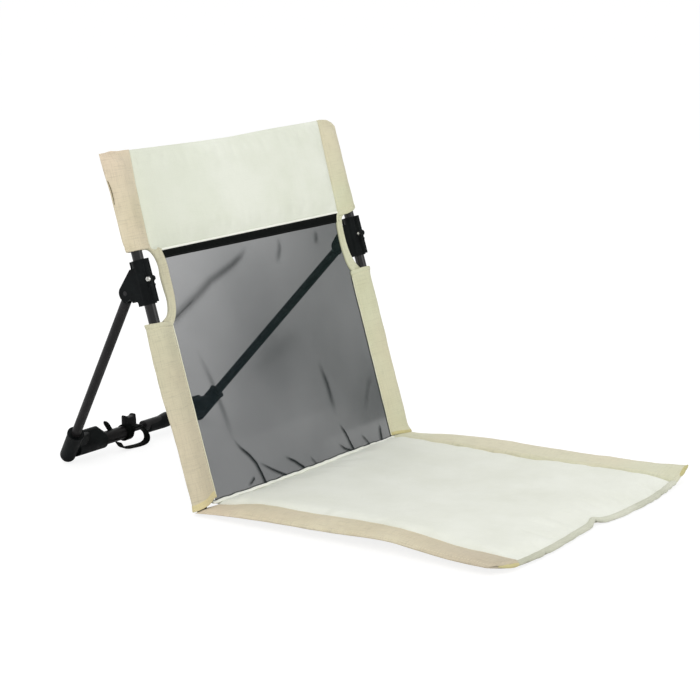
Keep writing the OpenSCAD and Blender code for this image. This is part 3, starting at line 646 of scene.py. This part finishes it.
def make_front_hem():
    """The rolled and gathered front edge, in cream cloth painted greyer as painted shade."""
    stations = 280
    rings = []
    for j in range(stations + 1):
        x = (PANEL_HALF + 1.5) * (2 * j / stations - 1)
        pull = gather_at(x)
        wide = 3.9 - pull * 0.4 + 0.25 * waver(x, 0, 6, 5.5)
        tall = 2.9 - pull * 0.35 + 0.25 * waver(x, 3, 8, 9.1) - 0.5 * smooth((-x - 120) / 50)
        y = front_at(x) + 3.9 + 0.3 * waver(x, 1, 30, 1.1) + pull * 0.3
        z = seat_lift(x, front_at(x) + 3) + 3.0 + pull * 0.25
        rings.append([(x, y + wide * squarer(c, 0.8), z + tall * squarer(s, 0.75)) for c, s in circle(20)])
    put("front_hem_cloth", loft(rings), SHADED_HEM, 60, "seat", "cream_cloth", "front_hem")


def make_corner_tip(side):
    """The yellowish fold where a band turns in to the hem at a front corner."""
    inner, outer = (PANEL_HALF - 3, HALF_W - 13) if side < 0 else (PANEL_HALF + 15, HALF_W - 1.5)
    rings = []
    for t in np.linspace(0, 1, 25):
        x = side * (inner + (outer - inner) * t)
        full = sin(pi * (0.06 + 0.88 * t)) ** 0.6
        high = (7.2 - 3 * t if side > 0 else 4.8 - 0.8 * t) * (1 + 0.1 * waver(x, 0, 4, 6.2))
        y = front_at(x) + 1.2 + 0.5 * waver(x, 1, 5, 3.4)
        base = seat_lift(x, y)
        rings.append([(x, y + 3.4 * full * (c if c > 0 else 0.55 * c), base + high * (0.56 + 0.5 * full * s))
                      for c, s in circle(16)])
    put("corner_tip_" + LABEL[side], loft(rings), FOLDED, 60, "seat", "beige_cloth")


# Outline of the cloth back: its top edge, the headrest's lower edge, its seams and the lower sleeves' ends
HEAD_TOP = [(-217, 385.4), (-203, 386.6), (-190, 385.8), (-176, 386.2), (-60, 385.8), (0, 386.2), (80, 389.4),
            (160, 391.4), (182, 392.2), (196, 391), (206, 387), (214, 380)]
HEAD_LOW = [(-213, 279.8), (-176, 279.2), (-160, 275.4), (170, 277.6), (172, 274), (188, 274.4), (209, 279.4)]
SEAM = {-1: [(276, -177), (384, -172)], 1: [(276, 174), (384, 179.2)]}
LOW_TOP = [(-212, 201.4), (-172, 198.6), (172, 205), (189, 206.8), (212, 206.2)]


# Sleeves round the uprights
def sleeve_half(x, inner, outer, peak, edge):
    """Half thickness of a sleeve at x, where the tube fills it."""
    away = (x - UPRIGHT_X) / ((outer - UPRIGHT_X) if x > UPRIGHT_X else (UPRIGHT_X - inner))
    return edge + (peak - edge) * cos(pi / 2 * clamp(abs(away))) ** 1.6


def sleeve_rings(side, low, high, stations, shape, grow):
    """Rings of a sleeve between two edges, each a height by x. shape gives its section at the height s."""
    half_ring = 20
    rings = []
    for j in range(stations + 1):
        t = j / stations
        s = low(side * UPRIGHT_X) * (1 - t) + high(side * UPRIGHT_X) * t
        inner, outer, peak, edge, front, shift = shape(s)
        ring = []
        for i in range(2 * half_ring):
            face = -1 if i < half_ring else 1
            u = i / half_ring if face < 0 else 1 - (i - half_ring) / half_ring
            u = 0.5 - 0.5 * cos(pi * u)
            x = (inner - grow) + (outer - inner + 2 * grow) * u
            h = sleeve_half(clamp(x, inner, outer), inner, outer, peak, edge) + grow
            rim = quarter(min(x - inner + grow, outer + grow - x) / (edge + grow))
            ripple = 0.35 * waver(x, s * side, 19, 3.3 + face) * (1 if face < 0 else 0.6)
            n = face * (h + ripple) * rim - (front * rim if face < 0 else 0)
            ring.append(on_back(side * x, n + shift, low(side * x) * (1 - t) + high(side * x) * t))
        rings.append(ring)
    return rings


def sleeve(name, side, low, high, stations, shape, material):
    """A cloth tube round an upright."""
    rings = [sleeve_rings(side, low, high, stations, shape, grow) for grow in (0, -CLOTH_T)]
    return piece(name, tube_cloth(*rings), material)


def cuff(name, side, low, high, shape, proud, trim):
    """A hem turned over the end of a sleeve, a little proud of it."""
    outer, inner = (sleeve_rings(side, low, high, 10, shape, grow) for grow in (proud, -CLOTH_T * 0.4))
    rows = len(outer) - 1
    for j, ring in enumerate(outer):
        share = 0.35 + 0.65 * (1 - (2 * j / rows - 1) ** 6)
        ring[:] = [q + (p - q) * share for p, q in zip(ring, inner[j])]
    return put(name, tube_cloth(outer, inner), trim, 60, "backrest", "beige_cloth")


def make_lower_sleeve(side):
    """The beige sleeve from the ground up to the window."""
    label = LABEL[side]
    low, high = -2.6, WINDOW_LOW + 2

    def shape(s):
        outer = HALF_W - 1.8 + 0.9 * waver(s, side * 7, 38, 1.3) + 0.4 * waver(s, side * 7, 12, 6.3)
        outer += table_at([(30, 0), (80, 1.6), (125, 3.8), (170, 4), (203, 1.6)], s) if side < 0 else 0
        mouth = smooth(1 - (s - low) / 11)
        top = smooth(1 - (high - s) / 9)
        return (PANEL_HALF + 0.4, outer + 1.2 * mouth + 1.2 * top, 7.5 + 0.5 * mouth, 1.5 + 0.9 * mouth + 0.3 * top,
                1.8 * mouth, 0)

    def foot(x):
        if side < 0:
            return straight([(177, 6.4), (192, 2.6), (207, -0.4), (215, -1)], abs(x))
        return low + 3.4 * smooth((UPRIGHT_X + 6 - abs(x)) / 30)

    def top(x):
        return straight(LOW_TOP, x) + 0.4 * waver(x, side, 11, 2.6)

    deep = 6.4 if side < 0 else 3.6
    obj = sleeve(f"lower_sleeve_{label}_cloth", side, foot, top, 110, shape, BEIGE_LOW[side])
    hem = cuff("lower_hem_" + label, side, lambda x: top(x) - 4.6, lambda x: top(x) + 0.3, shape, 0.55,
               BEIGE_LOW[side])
    cuff("lower_end_" + label, side, lambda x: foot(x) - 0.6, lambda x: foot(x) + deep, shape, 0.35, FOLDED)
    return belongs(obj, "backrest", "beige_cloth", "lower_sleeve_" + label)


def make_head_sleeve(side):
    """The beige sleeve beside the headrest, closed at its top over the tube's cap, and its hem."""
    label = LABEL[side]

    def shape(s):
        flare = smooth((s - 340) / 44)
        outer = HALF_W + 0.2 + (3.8 if side < 0 else 0.4) * flare + 0.5 * waver(s, side * 3, 26, 2.3)
        outer += 2.3 * smooth((s - 278) / 14) if side < 0 else 0
        shut = smooth((s - CAP_TOP + 5) / 13)
        tight = smooth(1 - (s - WINDOW_TOP) / 12)
        return (abs(straight(SEAM[side], s)) - 0.4, outer, 7.5 - 5.2 * shut, 1.6 + 0.3 * tight - 0.3 * shut, 0,
                -1.5 * flare if side < 0 else 0)

    def foot(x):
        return straight(HEAD_LOW, x)

    def top(x):
        return straight(HEAD_TOP, x) + 0.5 * waver(x, side, 9, 7.1)

    obj = sleeve(f"headrest_sleeve_{label}_cloth", side, foot, top, 80, shape, BEIGE[side])
    hem = cuff("headrest_hem_" + label, side, lambda x: foot(x) - 0.3, lambda x: foot(x) + 5, shape, 0.5, BEIGE[side])
    return belongs(obj, "backrest", "beige_cloth", "headrest_sleeve_" + label), hem


def make_slit():
    """The shaded opening down the outer edge of the left headrest sleeve."""
    low, high = 331, 356
    line = [on_back(-214.8 - 3.6 * smooth((s - 340) / 44), -1.7 - 0.7 * sin(pi * (s - low) / (high - low)), s)
            for s in np.linspace(low, high, 40)]
    wide = [0.25 + 1.5 * sin(pi * k / 39) for k in range(40)]
    put("headrest_slit_left", ribbon(line, (0.5, 1.0, 0), wide, 0.7), INSIDE, 60, "backrest", "beige_cloth")


def make_headrest():
    """The cream headrest: a thin pillow between its sleeves."""
    nu, nv = 84, 28

    def side(u, v, face):
        near = WINDOW_TOP + (BACK_LEN - WINDOW_TOP) * v
        left, right = straight(SEAM[-1], near) - 0.4, straight(SEAM[1], near) + 0.4
        x = left + (right - left) * u
        low, top = straight([(-176, 275.3), (176, 278)], x), straight(HEAD_TOP, x)
        s = low + (top - low) * v
        full = quarter(min(x - left, right - x, s - low, top - s) / 6)
        crown = 2.6 * (1 - abs(2 * u - 1) ** 4) * (1 - (2 * v - 1) ** 4)
        puff = 0.6 * waver(x, s, 55, 7.7 + face) * full
        return on_back(x, face * (1.0 + 1.9 * full + crown + puff), s)

    form = slab(nu, nv, lambda u, v: side(u, v, 1), lambda u, v: side(u, v, -1))
    obj = piece("headrest_cushion", form, CREAM)
    spots = ((p, *divmod(k % ((nu + 1) * (nv + 1)), nu + 1)) for k, p in enumerate(form[0]))
    rims = {tuple(np.round(p, 3)) for p, j, i in spots if i in (0, nu) or j in (0, nv)}
    swell(obj, lambda p: tuple(np.round(p, 3)) in rims, 1.6, 0.006)
    subdivide(obj)
    return belongs(obj, "backrest", "cream_cloth", "headrest_front", "headrest_back")


# Edges of the window's binding on the back: beside the window, then beside the mesh, for each side
BINDING = {
    -1: ([(-189, 279.6), (-179, 277.2), (-172.4, 269.6), (-169.6, 259), (-170.9, 247), (-170.3, 234), (-169.4, 223),
          (-171.4, 212.6), (-176, 205.6), (-185, 201)],
         [(-166, 281.6), (-160, 277.4), (-156.6, 267.6), (-155.6, 257), (-155.8, 245), (-156.2, 232), (-157.5, 220),
          (-160.6, 208), (-166, 199.5), (-172, 193.5)]),
    1: ([(186, 274.2), (179.5, 270.6), (176.9, 263), (176, 254), (176, 244), (176.8, 234), (179, 225),
         (183, 217), (187.5, 211), (193, 206)],
        [(172, 279), (168.2, 272.5), (165.8, 262), (164.8, 252), (164.4, 242), (164.9, 231), (166.6, 219),
         (170, 209.5), (175, 203), (181, 198)]),
}


def make_binding(side):
    """The folded tape round the inner side of a window."""
    steps = 14
    rings = []
    for k, (p, q) in enumerate(zip(*(spline(row, 90) for row in BINDING[side]))):
        wave = 0.5 * waver(k, side * 4, 7, 1.9)
        ring = []
        for face in (-1, 1):
            for i in range(steps + 1):
                t = 0.5 - 0.5 * cos(pi * i / steps)
                t = t if face < 0 else 1 - t
                x, s = p + (q - p) * (t * 0.98 + 0.01)
                rim = sqrt(max(0.0, 1 - (2 * t - 1) ** 6))
                dip = exp(-((t - 0.5) / 0.2) ** 4)
                ring.append(on_back(x, face * (0.35 + (1.75 - 0.9 * dip) * rim) + wave * 0.6 * sin(pi * t) - 0.4, s))
        rings.append(ring)
    return put(f"window_binding_{LABEL[side]}_tape", loft(rings), BEIGE_LOW[side], 60, "backrest", "beige_cloth",
               "window_binding_" + LABEL[side])


def binding_mid(side, s):
    """How far from the middle the window's binding runs at height s."""
    rows = sorted(((p[1] + q[1]) / 2, abs(p[0] + 2 * q[0]) / 3) for p, q in zip(*BINDING[side]))
    return table_at(rows, s)


# Folds of the mesh, which the material also paints darker as painted shade: points (x, s), width in millimetres and
# strength
FOLDS = [
    ([(-9, 263), (-25, 252), (-45, 244), (-66, 238), (-88, 232), (-110, 222), (-136, 212), (-163, 202)], 5.8, 0.62),
    ([(-110, 222), (-122, 217), (-138, 211), (-165, 201)], 1.8, 0.95),
    ([(49, 266), (47, 250), (36, 232)], 4.4, 0.45),
    ([(123, 264), (118, 244)], 5, 0.4),
    ([(-141, 168), (-134, 146), (-127, 121), (-120, 87), (-115, 50)], 5, 0.4),
    ([(-119, 62), (-108, 46), (-97, 35), (-90, 25), (-86, 12), (-84, 1)], 2.3, 1.0),
    ([(-86, 26), (-67, 13), (-46, 1)], 1.6, 0.95),
    ([(-39, 22), (-23, 12), (-11, 2)], 1.9, 0.95),
    ([(7, 11), (14, 0)], 1.6, 0.6),
    ([(67, 116), (74, 85), (77, 44)], 4.6, 0.42),
    ([(77, 37), (84, 21), (89, 2)], 2, 0.95),
    ([(64, 14), (74, 5), (84, 1)], 1.7, 0.9),
    ([(113, 15), (122, 1)], 1.8, 0.75),
    ([(154, 20), (151, 10), (149, 0)], 2.6, 0.8),
    ([(-113, 4), (-101, 10)], 1.8, 0.8),
    ([(168, 86), (150, 64), (133, 36)], 4, 0.16),
    ([(57, 153), (-27, 133), (-98, 108)], 15, 0.09),
]
# How much of the light the mesh stops, with painted shadow of the ground behind it folded in: down its left, middle and
# right, from the top
COVER_WITH_SHADOW = {-171: [(0, 0.786), (60, 0.79), (110, 0.765), (150, 0.745), (266, 0.662)],
         0: [(0, 0.812), (50, 0.81), (62, 0.832), (130, 0.868), (190, 0.834), (266, 0.748)],
         171: [(0, 0.79), (20, 0.794), (28, 0.866), (75, 0.88), (130, 0.843), (170, 0.823), (240, 0.844), (266, 0.846)]}


def fold_at(x, s):
    """Strength of the strongest fold at a point of the mesh. A fold grows from its first point on."""
    best = 0.0
    here = np.array((x, s))
    for line, width, strength in FOLDS:
        if abs(x - line[0][0]) > 190 or abs(s - line[0][1]) > 110:
            continue
        pts = [np.array(p, float) for p in line]
        spans = [np.linalg.norm(b - a) for a, b in zip(pts, pts[1:])]
        gone, near, way = 0.0, 1e9, 0.0
        for a, b, span in zip(pts, pts[1:], spans):
            t = clamp((here - a) @ (b - a) / (span * span))
            far = np.linalg.norm(here - a - t * (b - a))
            if far < near:
                near, way = far, (gone + t * span) / sum(spans)
            gone += span
        loose = line[-1][1] > 25 and line[-1][0] > -160
        wide = width * (0.65 + 0.35 * way)
        if near < 3 * wide:
            grown = smooth(way / (0.2 if width > 5 else 0.4)) * (smooth((1 - way) / 0.4) if loose else 1)
            best = max(best, strength * grown * bell(near, wide))
    return best


def cover_with_shadow_at(x, s):
    """How much of the light the mesh stops at a point, painted shadow of the ground behind included."""
    a, b, t = (-PANEL_HALF, 0, (x + PANEL_HALF) / PANEL_HALF) if x < 0 else (0, PANEL_HALF, x / PANEL_HALF)
    return table_at(COVER_WITH_SHADOW[a], s) * (1 - smooth(t)) + table_at(COVER_WITH_SHADOW[b], s) * smooth(t)


def make_mesh_panel():
    """The open mesh, sagging a little to the rear and pulled into folds at its seams."""
    nu, nv, half_t = 190, 150, 0.25
    low, high = -0.6, WINDOW_TOP - WEB_H + 2

    def spot(u, v):
        s = low + (high - low) * v
        left, right = (min(PANEL_HALF + 1.6, binding_mid(side, s)) if s > 190 else PANEL_HALF + 1.6
                       for side in (-1, 1))
        return -left + (right + left) * u, s

    def at(u, v, thick):
        x, s = spot(u, v)
        hold = (1 - abs(2 * u - 1) ** 5) * (1 - abs(2 * v - 1) ** 6)
        deep = 3.2 * hold - 2.4 * fold_at(x, s) + 1.2 * hold * waver(x, s, 60, 5.2)
        gather = 0.9 * waver(x, 0, 9, 2.8) * smooth(1 - (s - low) / 30)
        return on_back(x, deep + gather + thick, s)

    obj = piece("mesh_panel_knit", slab(nu, nv, lambda u, v: at(u, v, half_t), lambda u, v: at(u, v, -half_t)), KNIT,
                180)
    spots = [spot(i / nu, j / nv) for j in range(nv + 1) for i in range(nu + 1)]
    # Fold strength, also used for painted shade in creases, and cover with painted shadow of the ground behind, on
    # every point.
    for name, measure in (("fold", fold_at), ("cover_with_shadow", cover_with_shadow_at)):
        values = obj.data.attributes.new(name, "FLOAT", "POINT")
        values.data.foreach_set("value", [measure(x, s) for x, s in spots] * 2)
    return belongs(obj, "backrest", "grey_mesh", "mesh_panel")


def make_webbing_band():
    """The webbing below the headrest, with the headrest's turned edge above it, painted whiter than the cream as a
    painted highlight.
    """
    line, edge, wide = [], [], []
    for k in range(121):
        t = k / 120
        x = -159 + 331 * t
        n = -0.6 + 0.25 * waver(x, 0, 40, 3.0)
        low, top = 266 + 0.4 * t, 275.2 + 2.4 * t
        line.append(on_back(x, n, (low + top) / 2 + 0.25 * waver(x, 5, 50, 4.0)))
        edge.append(on_back(x, n - 1.1, top + 0.7))
        wide.append(top - low)
    up = on_back(0, 0, 1) - on_back(0, 0, 0)
    put("headrest_turned_edge", ribbon(edge, up, 2.4, 1.6), PAINTED_HIGHLIGHT_EDGE, 80, "backrest", "cream_cloth")
    return put("webbing_band_strip", ribbon(line, up, wide, WEB_T), WEBBING, 60, "backrest", "black_webbing",
               "webbing_band")


# Packing strap on the cross bar
def middle(node, axis):
    """The middle of a solid along an axis, in millimetres."""
    return sum(c[axis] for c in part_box(node)) / 2 / MM


BAR_Y, BAR_Z = middle("bar_core", 1), middle("bar_core", 2)
ANCHOR_X, STRAP_Y = middle("strap_anchor", 0), middle("strap_band", 1)

LOOP = [(-56, 12), (-50, 5.6), (-42, 2.8), (-30, 1.7), (-20, 1.3), (-10, 2.1), (-4.8, 5.4), (-4.4, 10.4), (-7, 15.4),
        (-11, 20), (-15.6, 24.2), (-21, 26.4), (-27, 25)]
RIDGE = [(-28.8, 20), (-28.8, 36), (-28, 37.2), (-26.8, 35.8), (-25.6, 34.6), (-15.2, 34.6), (-13.4, 35.6),
         (-12, 36.8), (-10.8, 36.6), (-10, 31), (-9.8, 24), (-11.6, 16), (-15, 11), (-24, 10), (-28, 13)]


def make_strap():
    """The loop, the wrap on the bar, its buckle and the loose end of the strap."""
    line = [np.array((p[0], STRAP_Y + 0.4 * sin(k / 9), p[1])) for k, p in enumerate(spline(LOOP, 96))]
    put("strap_loop", ribbon(line, (0, 1, 0.06), 9.6, 1.7), STRAP, 60, "prop_frame", "black_webbing", "strap_band")
    turns = []
    for k in range(121):
        a = 2 * pi * (1.6 * k / 120) + radians(115)
        r = 8.7 + 1.2 * k / 120
        turns.append(np.array((ANCHOR_X + 0.6 * sin(k / 19), BAR_Y + r * cos(a), BAR_Z + r * sin(a))))
    put("strap_wrap", ribbon(turns, (1.0, 0, 0.03), 10.4, 0.95), STRAP, 60, "prop_frame", "black_webbing",
        "strap_anchor")
    rings = [[(x + grow * (1 if x > -20 else -1), BAR_Y - 4.6 + k * 1.2, z + grow * (1 if z > 20 else -1))
              for x, z in RIDGE] for k, grow in ((0, -0.9), (1, -0.2), (2, 0), (5, 0), (6, -0.2), (7, -0.9))]
    put("strap_buckle_body", loft(rings), BUCKLE, 40, "prop_frame", "buckle_plastic", "strap_buckle")
    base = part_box("strap_tail")
    mid_x, foot = base[1].x / MM - 3.7, base[0].z / MM
    rings = []
    for k in range(19):
        h = 11.6 * k / 18
        half = 4.1 * sqrt(max(0.02, 1 - max(0.0, (h - 7) / 4.6) ** 2))
        rings.append([(mid_x - 0.46 * h + half * squarer(c, 0.5), BAR_Y + 0.3 * h + 1.1 * squarer(s, 0.5),
                       foot + 0.97 * h) for c, s in circle(20)])
    put("strap_tail_end", loft(rings), STRAP, 60, "prop_frame", "black_webbing", "strap_tail")


# Moulded forms of the prop frame
SHELL = [(13.5, 6.4, -2.05), (14.2, 7.5, -2.05), (26, 7.6, -2.05), (34, 7.8, -1.9), (45, 8.9, -0.9), (51.4, 9.2, -0.3),
         (52, 8.6, -0.3)]


def make_shell():
    """The thick end of the bar's right half, with its cone."""
    rings = [[(x, BAR_Y + r * c, BAR_Z + drop + r * s) for c, s in circle(40)] for x, r, drop in SHELL]
    put("bar_shell_right", loft(rings), PLASTIC, 40, "prop_frame", "black_plastic", "bar_ferrule_right")


def make_web(side):
    """The web that fills the corner between an elbow's socket and its arm."""
    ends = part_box("leg_" + LABEL[side])
    foot = np.array((side * 123.5, BAR_Y, BAR_Z))
    way = np.array((side * UPRIGHT_X, ends[0].y / MM, ends[1].z / MM)) - foot
    way /= np.linalg.norm(way)
    section = ((0, -0.7), (0.06, -1), (0.5, -1.1), (0.94, -0.9), (1, -0.5), (1, 0.5), (0.94, 0.9), (0.5, 1.1),
               (0.06, 1), (0, 0.7))
    rings = []
    for k in range(15):
        t = k / 14
        half = 6.6 - 2.0 * (2 * t - 1) ** 2
        low = foot + np.array((-side * 4, 0, -6.0)) * (1 - t) + np.array((-side * 34, 0, -8.0)) * t
        top = foot + way * 24 * (1 - t) + np.array((-side * 30, 0, 15.5)) * t
        rings.append([low * (1 - w) + top * w + np.array((0, half * h, 0)) for w, h in section])
    put("elbow_web_" + LABEL[side], loft(rings), PLASTIC, 40, "prop_frame", "black_plastic")


# Stitches, as short bowed threads laid on the cloth
STITCH_T = 0.5


def stitch_row(name, obj, route, way, body, slot, material, pitch=3.4):
    """Sews along a route, found on a piece by rays along way."""
    skin = BVHTree.FromObject(obj, bpy.context.evaluated_depsgraph_get())
    aim = Vector(way).normalized()
    line = [np.array(p, float) for p in route]
    lengths = np.cumsum([0] + [np.linalg.norm(b - a) for a, b in zip(line, line[1:])])
    points, faces = [], []
    count = int(lengths[-1] / pitch)
    for k in range(count):
        marks = []
        for share in (0.14, 0.5, 0.86):
            at = (k + share) / count * lengths[-1]
            i = min(int(np.searchsorted(lengths, at, "right")) - 1, len(line) - 2)
            t = (at - lengths[i]) / max(lengths[i + 1] - lengths[i], 1e-9)
            hit = skin.ray_cast(Vector((line[i] * (1 - t) + line[i + 1] * t) * MM) - aim * 0.06, aim, 0.12)
            if hit[0] is None:
                break
            normal = hit[1] if hit[1].dot(aim) < 0 else -hit[1]
            marks.append((np.array(hit[0]) / MM, np.array(normal)))
        if len(marks) < 3:
            continue
        first = len(points)
        for (p, n), lift, wide in zip(marks, (-0.12, 0.16, -0.12), (0.55, 1, 0.55)):
            across = np.cross(marks[2][0] - marks[0][0], n)
            across /= max(np.linalg.norm(across), 1e-9)
            half = STITCH_T / 2 * wide
            points += [p + n * (lift + half * sin(pi * i / 3)) + across * half * cos(pi * i / 3) for i in range(6)]
        faces += loft_faces(3, 6, first)
        faces += [tuple(first + i for i in range(6)), tuple(first + 12 + i for i in range(6))]
    return put(name, (points, faces), material, 80, body, slot)


def sew(made):
    """Every row of stitches that shows."""
    def back_row(name, obj, spots, pitch=3.4):
        stitch_row("stitch_" + name, obj, [on_back(x, 0, s) for x, s in spots], REARWARD, "backrest", "beige_cloth",
                   BEIGE_THREAD, pitch)

    for side, label in LABEL.items():
        head, low, band = made["head_" + label], made["low_" + label], made["band_" + label]
        feet = [(side * x, straight(HEAD_LOW, side * x)) for x in (179, 187, 198, 208)]
        back_row("head_hem_" + label, made["hem_" + label], [(x, s + 3.9) for x, s in feet])
        back_row("head_hem_upper_" + label, head, [(x, s + 7.4) for x, s in feet])
        back_row("head_seam_" + label, head,
                 [(straight(SEAM[side], s) + side * 2.4, s) for s in (WINDOW_TOP + 8, BACK_LEN - 3)])
        back_row("head_top_" + label, head, [(side * x, straight(HEAD_TOP, side * x) - 4) for x in (180, 196, 207)])
        back_row("low_top_" + label, low, [(side * x, straight(LOW_TOP, side * x) - 6) for x in (174, 189, 208)])
        back_row("low_seam_" + label, low, [(side * 174.5, 10), (side * 174.5, WINDOW_LOW - 6)])
        tape = [tuple(p * 0.25 + q * 0.75) for p, q in zip(*(spline(row, 60) for row in BINDING[side]))]
        back_row("tape_" + label, made["tape_" + label], tape[4:-4], 3.0)
        for name, x in (("seam", PANEL_HALF + 3), ("edge", HALF_W - 5.4)):
            route = [(side * x, FRONT_Y + 6, 10), (side * x, HINGE_Y - 5, 10)]
            stitch_row(f"stitch_band_{name}_{label}", band, route, (0, 0, -1), "seat", "beige_cloth", BEIGE_THREAD)
    for name, s, rise in (("upper", 273.6, 2), ("lower", 267.6, 0.4)):
        route = [on_back(x, 0, s + rise * (x + 156) / 324) for x in (-156, 168)]
        stitch_row("stitch_webbing_" + name, made["webbing"], route, REARWARD, "backrest", "black_webbing",
                   BLACK_THREAD)


# Pale edging beside the mesh, and below it the seat's rear roll, painted whiter as a painted highlight
def make_edging(side):
    """The thin pale piping where a lower sleeve meets the mesh, and its shade."""
    line = [on_back(side * (PANEL_HALF - 0.2 + 0.35 * waver(s, side, 14, 6.6)), -0.9, s)
            for s in np.linspace(6 if side < 0 else 1, WINDOW_LOW - 6, 110)]
    across = (side * 1.0, 0.35, 0)
    shade = [p + np.array((-side * 1.1, 0.9, 0)) for p in line]
    put("edging_shade_" + LABEL[side], ribbon(shade, across, 1.4, 0.5), DARK_LINE, 80, "backrest", "beige_cloth")
    put("edging_" + LABEL[side], ribbon(line, across, 1.3, 1.0), EDGING, 80, "backrest", "beige_cloth")


# Height of the roll at the seat's rear edge, by x
ROLL = [(-182, 9.4), (-171, 7.6), (-138, 7.2), (-94, 6), (-38, 5.6), (20, 5.2), (82, 5.4), (125, 5), (171, 4.4)]


def make_seat_piping():
    """The scalloped roll where the seat meets the mesh, painted whiter than the cream as a painted highlight, and its
    shade.
    """
    line = [np.array((x, REAR_Y - 4.2 + 0.5 * waver(x, 2, 16, 1.2),
                      table_at(ROLL, x) + 1.2 * waver(x, 0, 14, 8.2) + 0.3 * waver(x, 4, 7, 2.2)))
            for x in np.linspace(-PANEL_HALF - 11, PANEL_HALF + 6, 240)]
    across = (0, 1.0, 0.25)
    shade = [p + np.array((0, 2.2, 1.7)) for p in line]
    put("seat_rear_shade", ribbon(shade, across, 1.2, 0.8), DARK_LINE, 80, "seat", "cream_cloth")
    put("seat_rear_roll", ribbon(line, across, 4.2, 2.0), PAINTED_HIGHLIGHT_EDGE, 80, "seat", "cream_cloth")


# Camera, light and floor
AZIMUTH, ELEVATION = radians(-55.89), radians(11.88)
LAMPS = (((-1.9, -0.6, 2.1), 1.6, 26), ((0.6, -2.4, 1.4), 1.8, 12), ((1.2, 1.9, 1.8), 1.4, 10))
FLOOR_HALF, FLOOR_Z = 30000, -0.4


def aim(obj, forward):
    """Turns an object's view along a direction."""
    obj.rotation_mode = "QUATERNION"
    obj.rotation_quaternion = forward.to_track_quat("-Z", "Y")


def blend_out(n, factor, plain, white, out):
    """Shows a mix of two shaders."""
    both = n.add("MixShader", {0: factor, 1: plain.outputs[0], 2: white.outputs[0]})
    n.fill(n.add(out).inputs["Surface"], both.outputs[0])


def make_stage():
    """A camera at the photograph's angle, soft light and a pale floor."""
    scene = bpy.context.scene
    camera = link("camera", bpy.data.cameras.new("camera"))
    camera.location = (-1.7075, -1.1624, 0.5826)
    aim(camera, Vector((-sin(AZIMUTH) * cos(ELEVATION), cos(AZIMUTH) * cos(ELEVATION), -sin(ELEVATION))))
    camera.data.lens = 97.83
    camera.data.sensor_width = 36
    scene.camera = camera
    scene.view_settings.view_transform = "Standard"

    scene.world = bpy.data.worlds.new("studio")
    n = Nodes(scene.world)
    rays = n.add("LightPath").outputs
    plain, white = (n.add("Background", {"Color": (1, 1, 1, 1), "Strength": power}) for power in (0.68, 1.0))
    blend_out(n, n.calc("MAXIMUM", rays["Is Camera Ray"], rays["Is Transmission Ray"]), plain, white, "OutputWorld")

    corners = [(x * FLOOR_HALF, y * FLOOR_HALF, FLOOR_Z) for x, y in ((-1, -1), (1, -1), (1, 1), (-1, 1))]
    floor = piece("floor", (corners, [(0, 1, 2, 3)]), bpy.data.materials.new("pale_floor"), 50)
    n = Nodes(floor.data.materials[0])
    seen = n.calc("MULTIPLY", n.add("LightPath").outputs["Is Camera Ray"], 0.72)
    blend_out(n, seen, n.add("BsdfDiffuse", {"Color": (0.88, 0.88, 0.88, 1)}),
              n.add("Emission", {"Color": (1, 1, 1, 1), "Strength": 1.16}), "OutputMaterial")

    for name, (spot, size, power) in zip(("key", "fill", "back"), LAMPS):
        lamp = link(name, bpy.data.lights.new(name, "AREA"))
        lamp.data.size = size
        lamp.data.energy = power
        lamp.location = spot
        aim(lamp, Vector((0, 0, 0.1)) - Vector(spot))


make_stage()
dress_solids()
parts = {}
make_slit()
for way, tag in LABEL.items():
    parts["head_" + tag], parts["hem_" + tag] = make_head_sleeve(way)
    parts["low_" + tag] = make_lower_sleeve(way)
    parts["tape_" + tag] = make_binding(way)
    parts["band_" + tag] = make_seat_band(way)
    make_edging(way)
parts["webbing"] = make_webbing_band()
make_seat_cushion()
make_seat_underside()
make_front_hem()
make_corner_tip(-1)
make_corner_tip(1)
make_headrest()
make_mesh_panel()
make_seat_piping()
make_strap()
make_shell()
make_web(-1)
make_web(1)
sew(parts)
